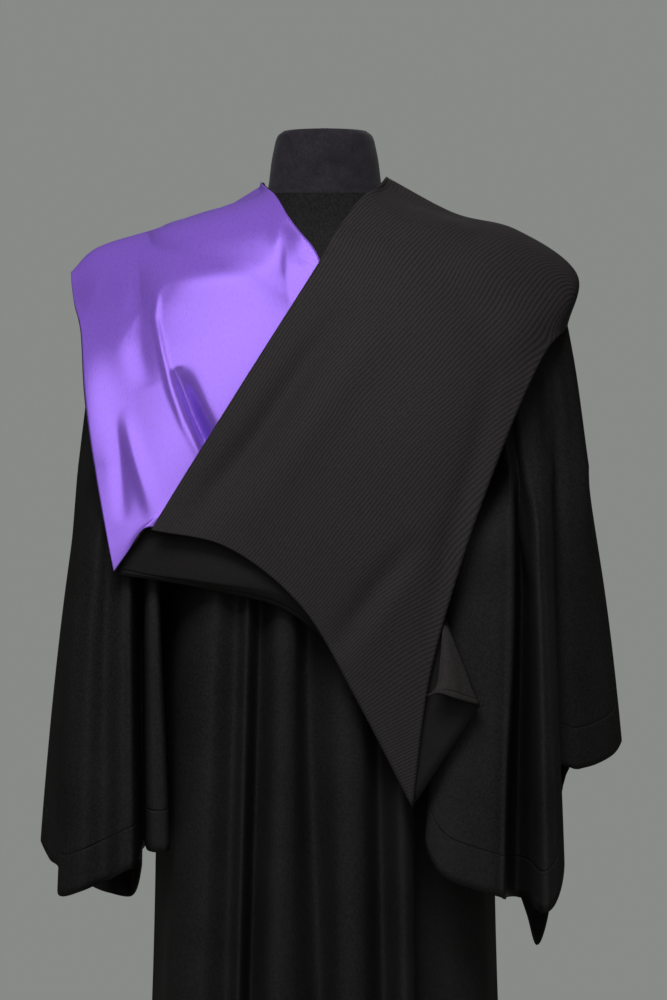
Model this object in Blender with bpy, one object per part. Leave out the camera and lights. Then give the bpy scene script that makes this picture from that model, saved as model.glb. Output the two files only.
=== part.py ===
"""A graduation gown with its hood, worn by a limbless dress form on a stand.

Metres, +Z up. The origin is the centre of the stand's foot, on the floor. The gown's back faces -Y, and
+X is on the right as that back is looked at. Tables hold millimetres.
"""

import math

import bmesh
import bpy
import numpy as np

MM = 0.001

# Heights of the gown's seams and edges
YOKE_SEAM_Z = 1.360
CHEST_Z = 1.200
WAIST_Z = 0.972
KNEE_Z = 0.590
HEM_Z = 0.220

# Armhole: an upright oval on the side of the body
ARMHOLE_MID_Z = 1.313
ARMHOLE_HALF_HEIGHT = 0.113
ARMHOLE_HALF_DEPTH = 0.075
ARMHOLE_TOP_Z = 1.426

# How far the underside of the sleeve drops and stands out by the level of the armpit
UNDERARM_DROP = 0.030
UNDERARM_OUT = 0.010

# Cloth walls and the gaps between pieces
GOWN_CLOTH = 1.6 * MM
HOOD_CLOTH = 1.8 * MM
LINING_CLOTH = 1.2 * MM
SEAM_GAP = 0.5 * MM
ARMHOLE_GAP = 1.2 * MM
LAYER_GAP = 0.4 * MM
LINING_GAP = 0.9 * MM

# How far the outer faces of the hood's halves lie off the form, where they rest on the shoulders
RIGHT_HOOD_OFF = 7.2 * MM
LEFT_HOOD_OFF = 9.6 * MM

# Rows and columns of the gown's pieces
SHOULDER_HEIGHTS = (1.474, 1.468, 1.462, 1.450, 1.440, 1.430, 1.426, 1.422, 1.410, 1.394, 1.378)
PANEL_HEIGHTS = (1.3597, 1.310, 1.250, 1.212, 1.200, 1.090, 0.972, 0.780, 0.590, 0.400, HEM_Z)
YOKE_COLUMNS = 20
SLEEVE_STAGES = (0.0, 0.15, 0.35, 0.65, 1.0)
SLEEVE_DROPS = (0.16, 0.4, 0.7, 1.0)

# How far the hem spreads past the knee, as a share of the change from waist to knee
HEM_SPREAD = 0.8

# Stand
FOOT_RADIUS = 0.190
FOOT_HEIGHT = 0.014
COLLAR_RADIUS = 0.030
COLLAR_HEIGHT = 0.045
POLE_RADIUS = 0.0125
STAND_SIDES = 32

# Dress form: height, half width, depth behind and in front of its axis, and how square the section is
FORM_BOTTOM_Z = 0.860
FORM_SIDES = 32
FORM_HEIGHTS = (0.86, 0.93, 1.0, 1.08, 1.14, 1.2, 1.25, 1.3, 1.36, 1.486, 1.515, 1.537, 1.544, 1.5475)
FORM_ROWS = (
    # z, half_width, back, front, squareness
    (860, 148, 86, 92, 2.4),
    (930, 152, 88, 94, 2.4),
    (1080, 138, 86, 94, 2.4),
    (1200, 163, 104, 114, 2.6),
    (1300, 181, 108, 108, 2.8),
    (1360, 187, 105, 98, 2.8),
    (1394, 190, 97, 90, 2.7),
    (1422, 187, 88, 82, 2.5),
    (1430, 176, 84, 78, 2.4),
    (1440, 150, 78, 73, 2.3),
    (1450, 120, 72, 68, 2.2),
    (1462, 88, 65, 62, 2.1),
    (1474, 67, 61, 59, 2.0),
    (1486, 63.5, 59, 57, 2.0),
    (1501, 61.5, 57, 56, 2.0),
    (1515, 59.7, 56, 55, 2.0),
    (1531, 56.5, 54, 53, 2.0),
    (1538, 54.8, 52.5, 52, 2.0),
    (1543.5, 52.0, 50, 49.5, 2.0),
    (1547.5, 46.5, 45, 44.5, 2.0),
)

# How far the gown's outer face stands off the form, by height
LOOSENESS_ROWS = (
    # z, stands_off
    (1200, 14.0),
    (1300, 9.0),
    (1360, 5.0),
    (1394, 3.8),
    (1430, 3.6),
    (1450, 3.0),
    (1478, 3.0),
)

# Side seam, below the armhole
SIDE_SEAM_ROWS = (
    # z, x
    (220, 212),
    (590, 193),
    (972, 187),
    (1090, 186),
    (1200, 176),
)

# Folds of the back, from the left side seam to the right one: ridges and valleys of the hanging cloth
BACK_FOLDS = (
    # name, proud at the chest, waist_x, waist_y, knee_x, knee_y
    ("left recess", -2, -166, -80, -181, -66),
    ("first fold's outer edge", 2, -147, -118, -169, -124),
    ("first fold", 5, -122, -140, -136, -149),
    ("soft valley", 0, -98, -128, -108, -135),
    ("second fold", 4, -84, -139, -93, -148),
    ("narrow valley", -1, -71, -114, -81, -112),
    ("third fold", 4, -53, -139, -61, -149),
    ("third fold's crease", 4, -34, -139, -37, -148),
    ("open valley", -1, -18, -116, -6, -117),
    ("fourth fold", 4, 12, -139, 18, -149),
    ("fourth fold's crease", 4, 39, -137, 42, -147),
    ("shaded valley", -1, 57, -114, 64, -113),
    ("fifth fold", 4, 77, -135, 84, -143),
    ("fifth fold's edge", 3, 92, -126, 97, -130),
    ("right recess", -1, 101, -96, 103, -72),
    ("plain side", 0, 140, -84, 146, -64),
    ("plain side's turn", 1, 169, -52, 177, -44),
)

# Folds of one front, from its side seam to its free edge, on the right side
FRONT_FOLDS = (
    # name, proud at the chest, waist_x, waist_y, knee_x, knee_y
    ("side valley", 0, 168, 64, 177, 62),
    ("side fold", 4, 150, 106, 159, 118),
    ("valley", 0, 131, 112, 137, 106),
    ("wide fold", 4, 105, 130, 110, 141),
    ("shallow valley", 0, 76, 122, 79, 122),
    ("inner fold", 4, 55, 135, 57, 144),
    ("valley beside the edge", 1, 29, 126, 30, 126),
)
FRONT_EDGE_ROWS = (
    # z, x, y: below the chest the edge hangs free
    (220, 3, 150),
    (590, 3, 142),
    (972, 2, 133),
    (1200, 2, 130),
)
FRONT_EDGE_X_ABOVE = (
    # z, x: the edge runs up the chest and opens to the neckline
    (1200, 2),
    (1330, 2),
    (1380, 3),
    (1412, 13),
    (1474, 50),
)

# Path of the sleeve's outermost line, from the top of the armhole to the level of the armpit
SLEEVE_HEADS = {
    "left": (
        # stage, out, up
        (0.00, 0, 0),
        (0.15, 25, -2),
        (0.30, 48, -18),
        (0.45, 63, -44),
        (0.70, 71, -108),
        (1.00, 86, -226),
    ),
    "right": (
        (0.00, 0, 0),
        (0.15, 27, -2),
        (0.30, 52, -16),
        (0.45, 71, -43),
        (0.70, 88, -106),
        (1.00, 106, -226),
    ),
}

# Folds round each sleeve, from its outermost line by the back, the inside and the front. x grows away from
# the body. Each fold gathers towards the arm below the armhole, and spreads again down to the hem.
SLEEVE_MID_Z = 1.030
SLEEVE_LOW_Z = 0.790
SLEEVE_END_Z = 0.550
GATHER_SHARE = 0.7
SLEEVE_FOLDS = {
    "right": (
        # share of the ring, proud at the armpit, mid_x, mid_y, low_x, low_y, hem_z
        (0.000, 0, 313, -10, 338, -15, 868),
        (0.035, 0, 306, -30, 328, -35, 855),
        (0.075, 1, 291, -52, 308, -57, 845),
        (0.125, -1, 270, -72, 281, -80, 839),
        (0.165, -4, 247, -84, 252, -92, 834),
        (0.198, 7, 249, -112, 260, -122, 738),
        (0.222, 9, 240, -126, 249, -142, 698),
        (0.248, 6, 229, -120, 232, -136, 688),
        (0.260, -3, 225, -86, 225, -86, 694),
        (0.274, -9, 217, -68, 213, -62, 697),
        (0.288, -2, 209, -88, 202, -88, 699),
        (0.300, 6, 206, -118, 199, -132, 701),
        (0.320, 7, 196, -126, 190, -144, 705),
        (0.350, 6, 172, -129, 165, -150, 713),
        (0.388, 10, 145, -128, 127, -150, 732),
        (0.412, 9, 134, -120, 111, -140, 762),
        (0.440, 5, 147, -108, 122, -122, 778),
        (0.470, 0, 184, -74, 176, -84, 765),
        (0.500, 0, 194, 0, 203, 0, 745),
        (0.580, 1, 199, 64, 206, 74, 722),
        (0.660, 5, 218, 104, 218, 118, 700),
        (0.705, 1, 236, 98, 233, 108, 660),
        (0.740, -2, 246, 90, 243, 96, 628),
        (0.775, -3, 254, 82, 253, 86, 656),
        (0.810, -3, 260, 76, 261, 76, 720),
        (0.850, 0, 268, 68, 270, 66, 812),
        (0.910, 0, 290, 58, 304, 62, 852),
        (0.957, 0, 305, 28, 326, 28, 862),
    ),
    "left": (
        (0.000, 0, 291, -5, 315, -10, 756),
        (0.055, 1, 284, -42, 302, -52, 738),
        (0.110, -1, 277, -72, 290, -80, 728),
        (0.150, 3, 272, -100, 288, -108, 704),
        (0.200, 4, 254, -122, 264, -131, 709),
        (0.250, 0, 237, -116, 240, -124, 720),
        (0.298, 5, 217, -129, 217, -139, 732),
        (0.318, 4, 210, -122, 207, -132, 737),
        (0.334, -2, 207, -84, 204, -86, 744),
        (0.350, -6, 203, -60, 201, -58, 760),
        (0.364, -2, 199, -84, 198, -86, 758),
        (0.377, 3, 196, -117, 194, -126, 754),
        (0.400, 3, 184, -127, 176, -136, 752),
        (0.425, 1, 180, -112, 170, -121, 757),
        (0.455, 0, 187, -84, 184, -90, 765),
        (0.500, 0, 196, 0, 205, 0, 742),
        (0.580, 1, 199, 62, 206, 68, 722),
        (0.660, 5, 214, 104, 218, 114, 684),
        (0.740, -2, 240, 88, 244, 90, 688),
        (0.820, 1, 262, 96, 272, 104, 700),
        (0.890, -1, 275, 60, 289, 62, 724),
        (0.950, 0, 288, 28, 306, 28, 742),
    ),
}

# The hood's panels, in rows across the cloth, each from the neck side to the outer side: five points of
# x, y and z. The first column names the row, and the second is how many steps of cloth follow it.
ACROSS = (0.0, 0.25, 0.5, 0.78, 1.0)
RIGHT_PANEL_ROWS = (
    ("front join", 2,
     (0.3, 148, 1292), (0.3, 149, 1276), (0.3, 150, 1258), (0.3, 150, 1240), (0.3, 150, 1226)),
    ("front band", 2,
     (47, 130, 1354), (66, 138, 1333), (84, 142, 1312), (101, 143, 1288), (111, 142, 1268)),
    ("front chest", 3,
     (68, 92, 1420), (106, 112, 1390), (147, 121, 1357), (189, 119, 1318), (204, 116, 1290)),
    ("front shoulder", 4,
     (70, 42, 1474), (138, 58, 1443), (203, 68, 1414), (266, 72, 1362), (262, 84, 1316)),
    ("shoulder line", 4,
     (65.5, 0, 1497), (143, 0, 1457), (213, 0, 1439), (283, 0, 1386), (271, -2, 1331)),
    ("back shoulder", 3,
     (17, -92, 1438), (107, -82, 1425), (190, -76, 1405), (266, -52, 1362), (264, -58, 1322)),
    ("point of the V", 2,
     (-7, -112, 1395), (64, -122, 1378), (132, -123, 1352), (205, -110, 1322), (243, -92, 1298)),
    ("shoulder blade", 1,
     (-55, -134, 1318), (15, -144, 1300), (85, -146, 1277), (156, -139, 1254), (213, -122, 1238)),
    ("mid back", 1,
     (-103, -151, 1241), (-31, -159, 1224), (40, -162, 1204), (115, -157, 1181), (181.5, -143, 1160)),
    ("small of back", 1,
     (-146, -160, 1172), (-72, -166, 1152), (4, -169, 1127), (84, -166, 1094), (148, -157, 1066)),
    ("above the hem", 2,
     (-173, -164, 1128), (-94, -169, 1112), (-14, -171, 1071), (67, -170, 1002), (113, -165, 940)),
    ("hem", 0,
     (-188, -166, 1103), (-105, -170, 1084), (-27, -171, 1022), (36, -170, 916), (95, -167, 802)),
)
LEFT_PANEL_ROWS = (
    ("front join", 2,
     (-0.3, 148, 1292), (-0.3, 149, 1276), (-0.3, 150, 1258), (-0.3, 150, 1240), (-0.3, 150, 1226)),
    ("front band", 2,
     (-47, 130, 1354), (-66, 138, 1333), (-84, 142, 1312), (-101, 143, 1288), (-111, 142, 1268)),
    ("front chest", 3,
     (-68, 92, 1420), (-106, 112, 1390), (-147, 121, 1357), (-189, 119, 1318), (-207, 116, 1290)),
    ("front shoulder", 4,
     (-70, 42, 1472), (-134, 58, 1441), (-198, 66, 1410), (-256, 56, 1368), (-272, 48, 1330)),
    ("shoulder line", 4,
     (-64.5, 0, 1490), (-123, 0, 1456), (-196, 0, 1437), (-259, 0, 1416), (-283, -8, 1390)),
    ("back shoulder", 3,
     (-42, -84, 1450), (-104, -82, 1419), (-179, -78, 1396), (-244, -62, 1368), (-279, -38, 1357)),
    ("point of the V", 2,
     (-4, -99, 1392), (-78, -115, 1361), (-152, -114, 1336), (-222, -103, 1316), (-267, -80, 1318)),
    ("shoulder blade", 1,
     (-18, -122, 1332), (-82, -134, 1300), (-148, -135, 1275), (-212, -125, 1256), (-260, -112, 1245)),
    ("mid back", 1,
     (-62, -137, 1250), (-110, -145, 1226), (-160, -147, 1202), (-209, -141, 1182), (-250, -132, 1168)),
    ("small of back", 1,
     (-128, -147, 1160), (-154, -152, 1145), (-182, -153, 1127), (-211, -150, 1108), (-236, -146, 1092)),
    ("hem", 0,
     (-176, -155, 1104), (-192, -156, 1106), (-203, -155, 1099), (-213, -153, 1081), (-229, -150, 1058)),
)
UNDER_LAYER_ROWS = (
    ("top", 2,
     (-210, -134, 1128), (-130, -140, 1165), (-45, -149, 1160), (50, -152, 1110), (116, -148, 1046)),
    ("belly", 2,
     (-218, -140, 1086), (-136, -152, 1092), (-44, -160, 1066), (44, -160, 1014), (134, -152, 1000)),
    ("corner", 1,
     (-225, -140, 1063), (-128, -156, 1052), (-39, -162, 1036), (38, -160, 962), (166, -157, 918)),
    ("turn", 1,
     (-226, -140, 1058), (-124, -154, 1044), (-37, -159, 1023), (34, -158, 949), (161, -158, 903)),
    ("hem", 0,
     (-227, -139, 1055), (-120, -147, 1037), (-36, -152, 1012), (30, -156, 936), (95.5, -164.6, 804)),
)
CORNER_ROWS = (
    ("point", 2,
     (128, -157, 1002), (129, -157, 1001), (131, -157, 1000), (132, -157, 999), (133, -157, 998)),
    ("middle", 1,
     (124, -168, 957), (130, -171, 957), (137, -170, 956), (144, -165, 956), (151, -159.5, 956)),
    ("notch", 1,
     (120, -177, 934), (130, -180, 935), (141, -177, 933), (150, -170, 931), (159, -161, 934)),
    ("hem", 0,
     (110, -182, 925), (122, -184, 928), (138, -181, 923), (154, -172, 918), (168, -161.5, 914)),
)


def smooth(keys, values, at):
    """Values at `at` on a smooth curve through rows of values placed at rising keys."""
    keys = np.asarray(keys, float)
    values = np.asarray(values, float).reshape(len(keys), -1)
    at = np.asarray(at, float)
    step = np.diff(keys)[:, None]
    slope = np.diff(values, axis=0) / step
    inner = (slope[:-1] * step[1:] + slope[1:] * step[:-1]) / (step[:-1] + step[1:])
    tangent = np.vstack([slope[:1], inner, slope[-1:]])
    i = np.clip(np.searchsorted(keys, at, side="right") - 1, 0, len(step) - 1)
    h = step[i]
    t = (at - keys[i])[..., None] / h
    rise = t * t * (3 - 2 * t)
    start = t * (1 - t) ** 2 * h * tangent[i]
    end = t * t * (t - 1) * h * tangent[i + 1]
    return values[i] * (1 - rise) + values[i + 1] * rise + start + end


def by_height(rows, z):
    """The other columns of a table whose first column is a height, in metres at height z."""
    table = np.array(rows, float)
    return smooth(table[:, 0] * MM, table[:, 1:] * MM, np.clip(z, table[0, 0] * MM, table[-1, 0] * MM))


def form_section(z):
    """Half width, depth behind, depth in front and squareness of the form at a height."""
    half, back, front, squareness = np.moveaxis(by_height(FORM_ROWS, z), -1, 0)
    return half, back, front, squareness / MM


def form_level(points):
    """1 on the form's face, less inside it and more outside it."""
    half, back, front, n = form_section(points[..., 2])
    depth = np.where(points[..., 1] < 0, back, front)
    return ((np.abs(points[..., 0]) / half) ** n + (np.abs(points[..., 1]) / depth) ** n) ** (1 / n)


def form_slope(points):
    """The way in which form_level rises, by its change over a millimetre along each axis."""
    steps = np.eye(3) * MM / 2
    rises = [form_level(points + step) - form_level(points - step) for step in steps]
    return np.stack(rises, axis=-1) / MM


def form_point(angle, z):
    """Points on the dress form. The angle turns from -Y towards +X, as on an ellipse of the same depths."""
    angle, z = np.broadcast_arrays(np.asarray(angle, float), np.asarray(z, float))
    half, back, front, _n = form_section(z)
    depth = np.where(np.cos(angle) > 0, back, front)
    ring = np.stack([half * np.sin(angle), -depth * np.cos(angle), z], axis=-1)
    scale = form_level(ring)
    return np.stack([ring[..., 0] / scale, ring[..., 1] / scale, z], axis=-1)


def body_normal(angle, z):
    """The way out of the dress form's face."""
    slope = form_slope(form_point(angle, z))
    return slope / np.linalg.norm(slope, axis=-1)[..., None]


def body_point(angle, z):
    """Points of the gown's outer face where it follows the form."""
    return form_point(angle, z) + body_normal(angle, z) * by_height(LOOSENESS_ROWS, z)


def laid_over(points, off):
    """The same points, each moved out of the form until it is `off` metres from it."""
    points = points.copy()
    for _ in range(4):
        slope = form_slope(points)
        size = np.linalg.norm(slope, axis=-1)
        short = np.maximum(0.0, off - (form_level(points) - 1) / size)
        points += slope / size[..., None] * short[..., None]
    return points


def armhole_depth(z):
    """Half depth of the armhole at a height, or 0 above and below it."""
    share = (z - ARMHOLE_MID_Z) / ARMHOLE_HALF_HEIGHT
    return ARMHOLE_HALF_DEPTH * math.sqrt(max(0.0, 1 - share * share))


def angle_at(z, front, across=None, along=None):
    """The angle of the form's point that lies `across` metres along X, or `along` metres along Y."""
    half, back, ahead, n = form_section(z)
    depth = ahead if front else back
    if across is None:
        across = half * (1 - (along / depth) ** n) ** (1 / n)
    else:
        along = depth * (1 - (across / half) ** n) ** (1 / n)
    angle = math.atan2(across / half, along / depth)
    return math.pi - angle if front else angle


def armhole_angle(z, front):
    """Angle at which the armhole's edge, the shoulder line or the side seam lies at a height."""
    return angle_at(z, front, along=armhole_depth(z))


def body_depth(x, z, front):
    """How far the gown's face lies behind or in front of the axis, at x and z."""
    half, back, ahead, n = form_section(z)
    off = by_height(LOOSENESS_ROWS, z)[0]
    depth = (ahead if front else back) + off
    inside = max(0.0, 1 - (abs(x) / (half + off)) ** n)
    return depth * inside ** (1 / n)


def spread(stations, per_span):
    """Rising places from 0 to the last station, per_span of them for each span between stations."""
    places = []
    for low, high in zip(stations, stations[1:]):
        places += [low + (high - low) * k / per_span for k in range(per_span)]
    return places + [stations[-1]]


def edge_angle(z, front):
    """Angle of a panel's outer edge, half a seam's gap from the armhole or the shoulder line."""
    turn = SEAM_GAP / 2 / form_section(z)[1]
    return armhole_angle(z, front) + (turn if front else -turn)


def yoke_face():
    """The yoke's outer face and its way out, from the neckline and shoulder lines down to its seam."""
    heights = (*SHOULDER_HEIGHTS, YOKE_SEAM_Z + SEAM_GAP / 2)
    share = np.linspace(-1, 1, YOKE_COLUMNS + 1)
    angles = np.array([edge_angle(z, False) * share for z in heights])
    levels = np.array(heights)[:, None]
    return body_point(angles, levels), body_normal(angles, levels)


def fold_stations(folds, front, z):
    """Where each fold of a panel is at height z: by its row below the chest, and over the body above it."""
    face = 1 if front else -1
    side_x = side_edge(max(z, CHEST_Z), front)[0][0]
    waist_side_x = by_height(SIDE_SEAM_ROWS, WAIST_Z)[0]
    fade = (YOKE_SEAM_Z - max(z, CHEST_Z)) / (YOKE_SEAM_Z - CHEST_Z)
    points = []
    for _name, proud, waist_x, waist_y, knee_x, knee_y in folds:
        x = waist_x * MM / waist_side_x * side_x
        chest = (x, face * (body_depth(x, max(z, CHEST_Z), front) + proud * MM * fade))
        if z >= CHEST_Z:
            points.append(chest)
            continue
        hem = (knee_x + (knee_x - waist_x) * HEM_SPREAD, knee_y + (knee_y - waist_y) * HEM_SPREAD)
        stations = np.array((hem, (knee_x, knee_y), (waist_x, waist_y))) * MM
        points.append(smooth((HEM_Z, KNEE_Z, WAIST_Z, CHEST_Z), (*stations, chest), z))
    return points


def side_edge(z, front):
    """A panel's outer end at height z and its way out: the armhole's edge, or the side seam below it."""
    if z >= CHEST_Z:
        angle = edge_angle(z, front)
        return body_point(angle, z), body_normal(angle, z)
    x = by_height(SIDE_SEAM_ROWS, z)[0]
    return np.array((x, SEAM_GAP / 2 if front else -SEAM_GAP / 2, z)), np.array((1.0, 0.0, 0.0))


def back_face():
    """The back's outer face and its way out, in rows from the yoke's seam to the hem."""
    rows = []
    for z in PANEL_HEIGHTS:
        right = side_edge(z, False)[0][:2]
        knots = [right * (-1, 1), *fold_stations(BACK_FOLDS, False, z), right]
        keys = list(range(len(knots)))
        row = smooth(keys, knots, spread(keys, 2))
        rows.append(np.column_stack([row, np.full(len(row), z)]))
    points = np.array(rows)
    out = normals(points)
    out[:, -1] = [side_edge(z, False)[1] for z in PANEL_HEIGHTS]
    out[:, 0] = out[:, -1] * (-1, 1, 1)
    return points, out


def front_face():
    """The right front's outer face and its way out, in rows from the shoulder line to the hem."""
    rows = []
    heights = (*SHOULDER_HEIGHTS, *PANEL_HEIGHTS)
    columns = 2 * len(FRONT_FOLDS) + 2
    for z in heights:
        if z > YOKE_SEAM_Z:
            start = edge_angle(z, True)
            x = by_height(FRONT_EDGE_X_ABOVE, z)[0]
            end = angle_at(z, True, across=x)
            rows.append(body_point(np.linspace(start, end, columns + 1), z))
            continue
        if z >= CHEST_Z:
            x = by_height(FRONT_EDGE_X_ABOVE, z)[0]
            edge = np.array((x, body_depth(x, z, True)))
        else:
            edge = by_height(FRONT_EDGE_ROWS, z)
        knots = [side_edge(z, True)[0][:2], *fold_stations(FRONT_FOLDS, True, z), edge]
        keys = list(range(len(knots)))
        row = smooth(keys, knots, spread(keys, 2))
        rows.append(np.column_stack([row, np.full(len(row), z)]))
    points = np.array(rows)
    out = normals(points)
    out[:, 0] = [side_edge(z, True)[1] for z in heights]
    out[:, -1, 0] = 0.0
    return points, out / np.linalg.norm(out, axis=2)[:, :, None]


def armhole_point(share):
    """A point of the armhole, a gap outside the body's edge. Share 0 is its top, and it turns back."""
    turn = math.pi / 2 + 2 * math.pi * share
    z = ARMHOLE_MID_Z + ARMHOLE_HALF_HEIGHT * math.sin(turn)
    front = math.cos(turn) > 1e-6
    heights = [h for h in reversed((*SHOULDER_HEIGHTS, *PANEL_HEIGHTS)) if CHEST_Z <= h <= ARMHOLE_TOP_Z]
    k = min(max(int(np.searchsorted(heights, z)), 1), len(heights) - 1)
    low, high = (armhole_angle(h, front) for h in heights[k - 1 : k + 1])
    share = (z - heights[k - 1]) / (heights[k] - heights[k - 1])
    below, above = body_point(low, heights[k - 1]), body_point(high, heights[k])
    return below + (above - below) * share + body_normal(low + (high - low) * share, z) * ARMHOLE_GAP


def around(shares, values, at):
    """Values at places on a smooth closed ring."""
    shares = np.asarray(shares, float)
    values = np.asarray(values, float)
    keys = np.concatenate([shares[-2:] - 1, shares, shares[:2] + 1])
    return smooth(keys, np.concatenate([values[-2:], values, values[:2]]), at)


def sleeve_points(side):
    """Outer face of a sleeve, in rings from the armhole to the hem. x grows away from the body."""
    table = np.array(SLEEVE_FOLDS[side], float)
    shares = table[:, 0]
    places = np.array(spread((*shares, 1.0), 2)[:-1])
    head = np.array(SLEEVE_HEADS[side], float)
    relief = around(shares, table[:, 1:2] * MM, places)
    armhole = np.array([armhole_point(share) for share in places])
    lift = (1 + np.cos(2 * math.pi * places)) / 2
    rows = []
    for stage in SLEEVE_STAGES:
        ring = armhole.copy()
        shift = smooth(head[:, 0], head[:, 1:] * MM, stage)
        ring[:, 0] += shift[0] * lift + UNDERARM_OUT * stage * (1 - lift)
        ring[:, 2] += shift[1] * lift - UNDERARM_DROP * stage
        out = (ring - ring.mean(axis=0)) * (stage, 1, 1 - stage)
        out /= np.linalg.norm(out, axis=1)[:, None]
        rows.append(ring + out * relief * stage)
    arm = around(places, rows[-1], shares)
    mid, low, hem_z = table[:, 2:4] * MM, table[:, 4:6] * MM, table[:, 6] * MM
    end = low + (low - mid) * 0.6
    head_share = (1 + np.cos(2 * math.pi * shares)) / 2
    for drop in SLEEVE_DROPS:
        stations = []
        for k in range(len(shares)):
            z = arm[k, 2] + (hem_z[k] - arm[k, 2]) * drop
            gathered = mid[k] + (arm[k, :2] - mid[k]) * (0.22 + 0.48 * head_share[k] ** 2)
            gather_z = SLEEVE_MID_Z + (arm[k, 2] - SLEEVE_MID_Z) * GATHER_SHARE
            heights = (SLEEVE_END_Z, SLEEVE_LOW_Z, SLEEVE_MID_Z, gather_z, arm[k, 2])
            stations.append((*smooth(heights, (end[k], low[k], mid[k], gathered, arm[k, :2]), z), z))
        rows.append(around(shares, stations, places))
    return np.array(rows)


def panel_points(table, columns):
    """A hood panel's face: rows are smoothed across the cloth and then along it."""
    across = np.linspace(0, 1, columns + 1)
    stations = np.array([smooth(ACROSS, np.array(row[2:]) * MM, across) for row in table])
    places = [k + step / row[1] for k, row in enumerate(table) for step in range(row[1])]
    places.append(len(table) - 1.0)
    flat = smooth(range(len(table)), stations.reshape(len(table), -1), places)
    return flat.reshape(len(places), columns + 1, 3)


def normals(points, closed=False):
    """Unit normals of a grid of points, turned as the columns and then the rows run."""
    if closed:
        wrapped = np.concatenate([points[:, -1:], points, points[:, :1]], axis=1)
        across = (np.gradient(wrapped, axis=1))[:, 1:-1]
    else:
        across = np.gradient(points, axis=1)
    down = np.gradient(points, axis=0)
    out = np.cross(down, across)
    return out / np.linalg.norm(out, axis=2)[:, :, None]


def material(name, colour, roughness, metallic=0.0):
    """A plain finish, with its colour as red, green and blue."""
    made = bpy.data.materials.new(name)
    made.use_nodes = True
    shader = made.node_tree.nodes["Principled BSDF"]
    shader.inputs["Base Color"].default_value = (*colour, 1.0)
    shader.inputs["Roughness"].default_value = roughness
    shader.inputs["Metallic"].default_value = metallic
    return made


def add_object(name, bm, finish, location=(0.0, 0.0, 0.0)):
    """A named object from a bmesh whose faces all point out."""
    bmesh.ops.recalc_face_normals(bm, faces=bm.faces)
    mesh = bpy.data.meshes.new(name)
    bm.to_mesh(mesh)
    bm.free()
    mesh.materials.append(finish)
    mesh.shade_smooth()
    mesh.set_sharp_from_angle(angle=math.radians(50))
    made = bpy.data.objects.new(name, mesh)
    made.location = location
    bpy.context.scene.collection.objects.link(made)
    return made


def cloth_wall(name, points, out, thickness, finish, closed=False):
    """One wall of cloth, whose outer face is the grid of points and whose inner face lies inside it."""
    inside = points - out * thickness
    rows, columns = points.shape[:2]
    spans = columns if closed else columns - 1
    bm = bmesh.new()
    bmesh.ops.create_grid(bm, x_segments=spans, y_segments=rows - 1, size=0.5)
    place = {}
    for vert in bm.verts:
        column = round((vert.co.x + 0.5) * spans) % columns
        row = round((vert.co.y + 0.5) * (rows - 1))
        place[vert] = (row, column)
    for vert, (row, column) in place.items():
        vert.co = points[row, column]
    if closed:
        bmesh.ops.remove_doubles(bm, verts=bm.verts, dist=0.01 * MM)
        place = {vert: place[vert] for vert in bm.verts}
    outer = list(bm.verts)
    slots = [place[vert] for vert in outer]
    bm.verts.index_update()
    grown = bmesh.ops.extrude_face_region(bm, geom=list(bm.faces), use_keep_orig=True)
    shifted = [item for item in grown["geom"] if isinstance(item, bmesh.types.BMVert)]
    lookup = {tuple(round(c, 7) for c in vert.co): slot for vert, slot in zip(outer, slots)}
    for vert in shifted:
        row, column = lookup[tuple(round(c, 7) for c in vert.co)]
        vert.co = inside[row, column]
    return add_object(name, bm, finish)


def form_body(finish):
    """The limbless form, from its flat underside to the top of its neck."""
    heights = sorted((*FORM_HEIGHTS, *SHOULDER_HEIGHTS))
    bm = bmesh.new()
    bmesh.ops.create_grid(bm, x_segments=FORM_SIDES, y_segments=len(heights) - 1, size=0.5)
    for vert in bm.verts:
        angle = 2 * math.pi * (vert.co.x + 0.5)
        z = heights[round((vert.co.y + 0.5) * (len(heights) - 1))]
        vert.co = form_point(angle, z)
    bmesh.ops.remove_doubles(bm, verts=bm.verts, dist=0.01 * MM)
    bmesh.ops.holes_fill(bm, edges=[e for e in bm.edges if e.is_boundary], sides=0)
    return add_object("form_body", bm, finish)


def turned_solid(name, profile, finish):
    """A solid turned about the Z axis from its profile, listed from the bottom to the top of the axis."""
    bm = bmesh.new()
    verts = [bm.verts.new((radius, 0.0, z)) for radius, z in profile]
    edges = [bm.edges.new(pair) for pair in zip(verts, verts[1:])]
    bmesh.ops.spin(
        bm,
        geom=verts + edges,
        cent=(0, 0, 0),
        axis=(0, 0, 1),
        angle=2 * math.pi,
        steps=STAND_SIDES,
        use_merge=True,
    )
    bmesh.ops.remove_doubles(bm, verts=bm.verts, dist=0.01 * MM)
    return add_object(name, bm, finish)


def stand(finish):
    """The round foot with its collar, and the pole that carries the form."""
    chamfer = 0.003
    foot = (
        (0.0, 0.0),
        (FOOT_RADIUS - chamfer, 0.0),
        (FOOT_RADIUS, chamfer),
        (FOOT_RADIUS, FOOT_HEIGHT - chamfer),
        (FOOT_RADIUS - chamfer, FOOT_HEIGHT),
        (COLLAR_RADIUS, FOOT_HEIGHT),
        (COLLAR_RADIUS - chamfer, FOOT_HEIGHT + COLLAR_HEIGHT),
        (0.0, FOOT_HEIGHT + COLLAR_HEIGHT),
    )
    turned_solid("stand_foot", foot, finish)
    low = FOOT_HEIGHT + COLLAR_HEIGHT + LAYER_GAP
    high = FORM_BOTTOM_Z - LAYER_GAP
    pole = ((0.0, low), (POLE_RADIUS, low), (POLE_RADIUS, high), (0.0, high))
    turned_solid("stand_pole", pole, finish)


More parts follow.
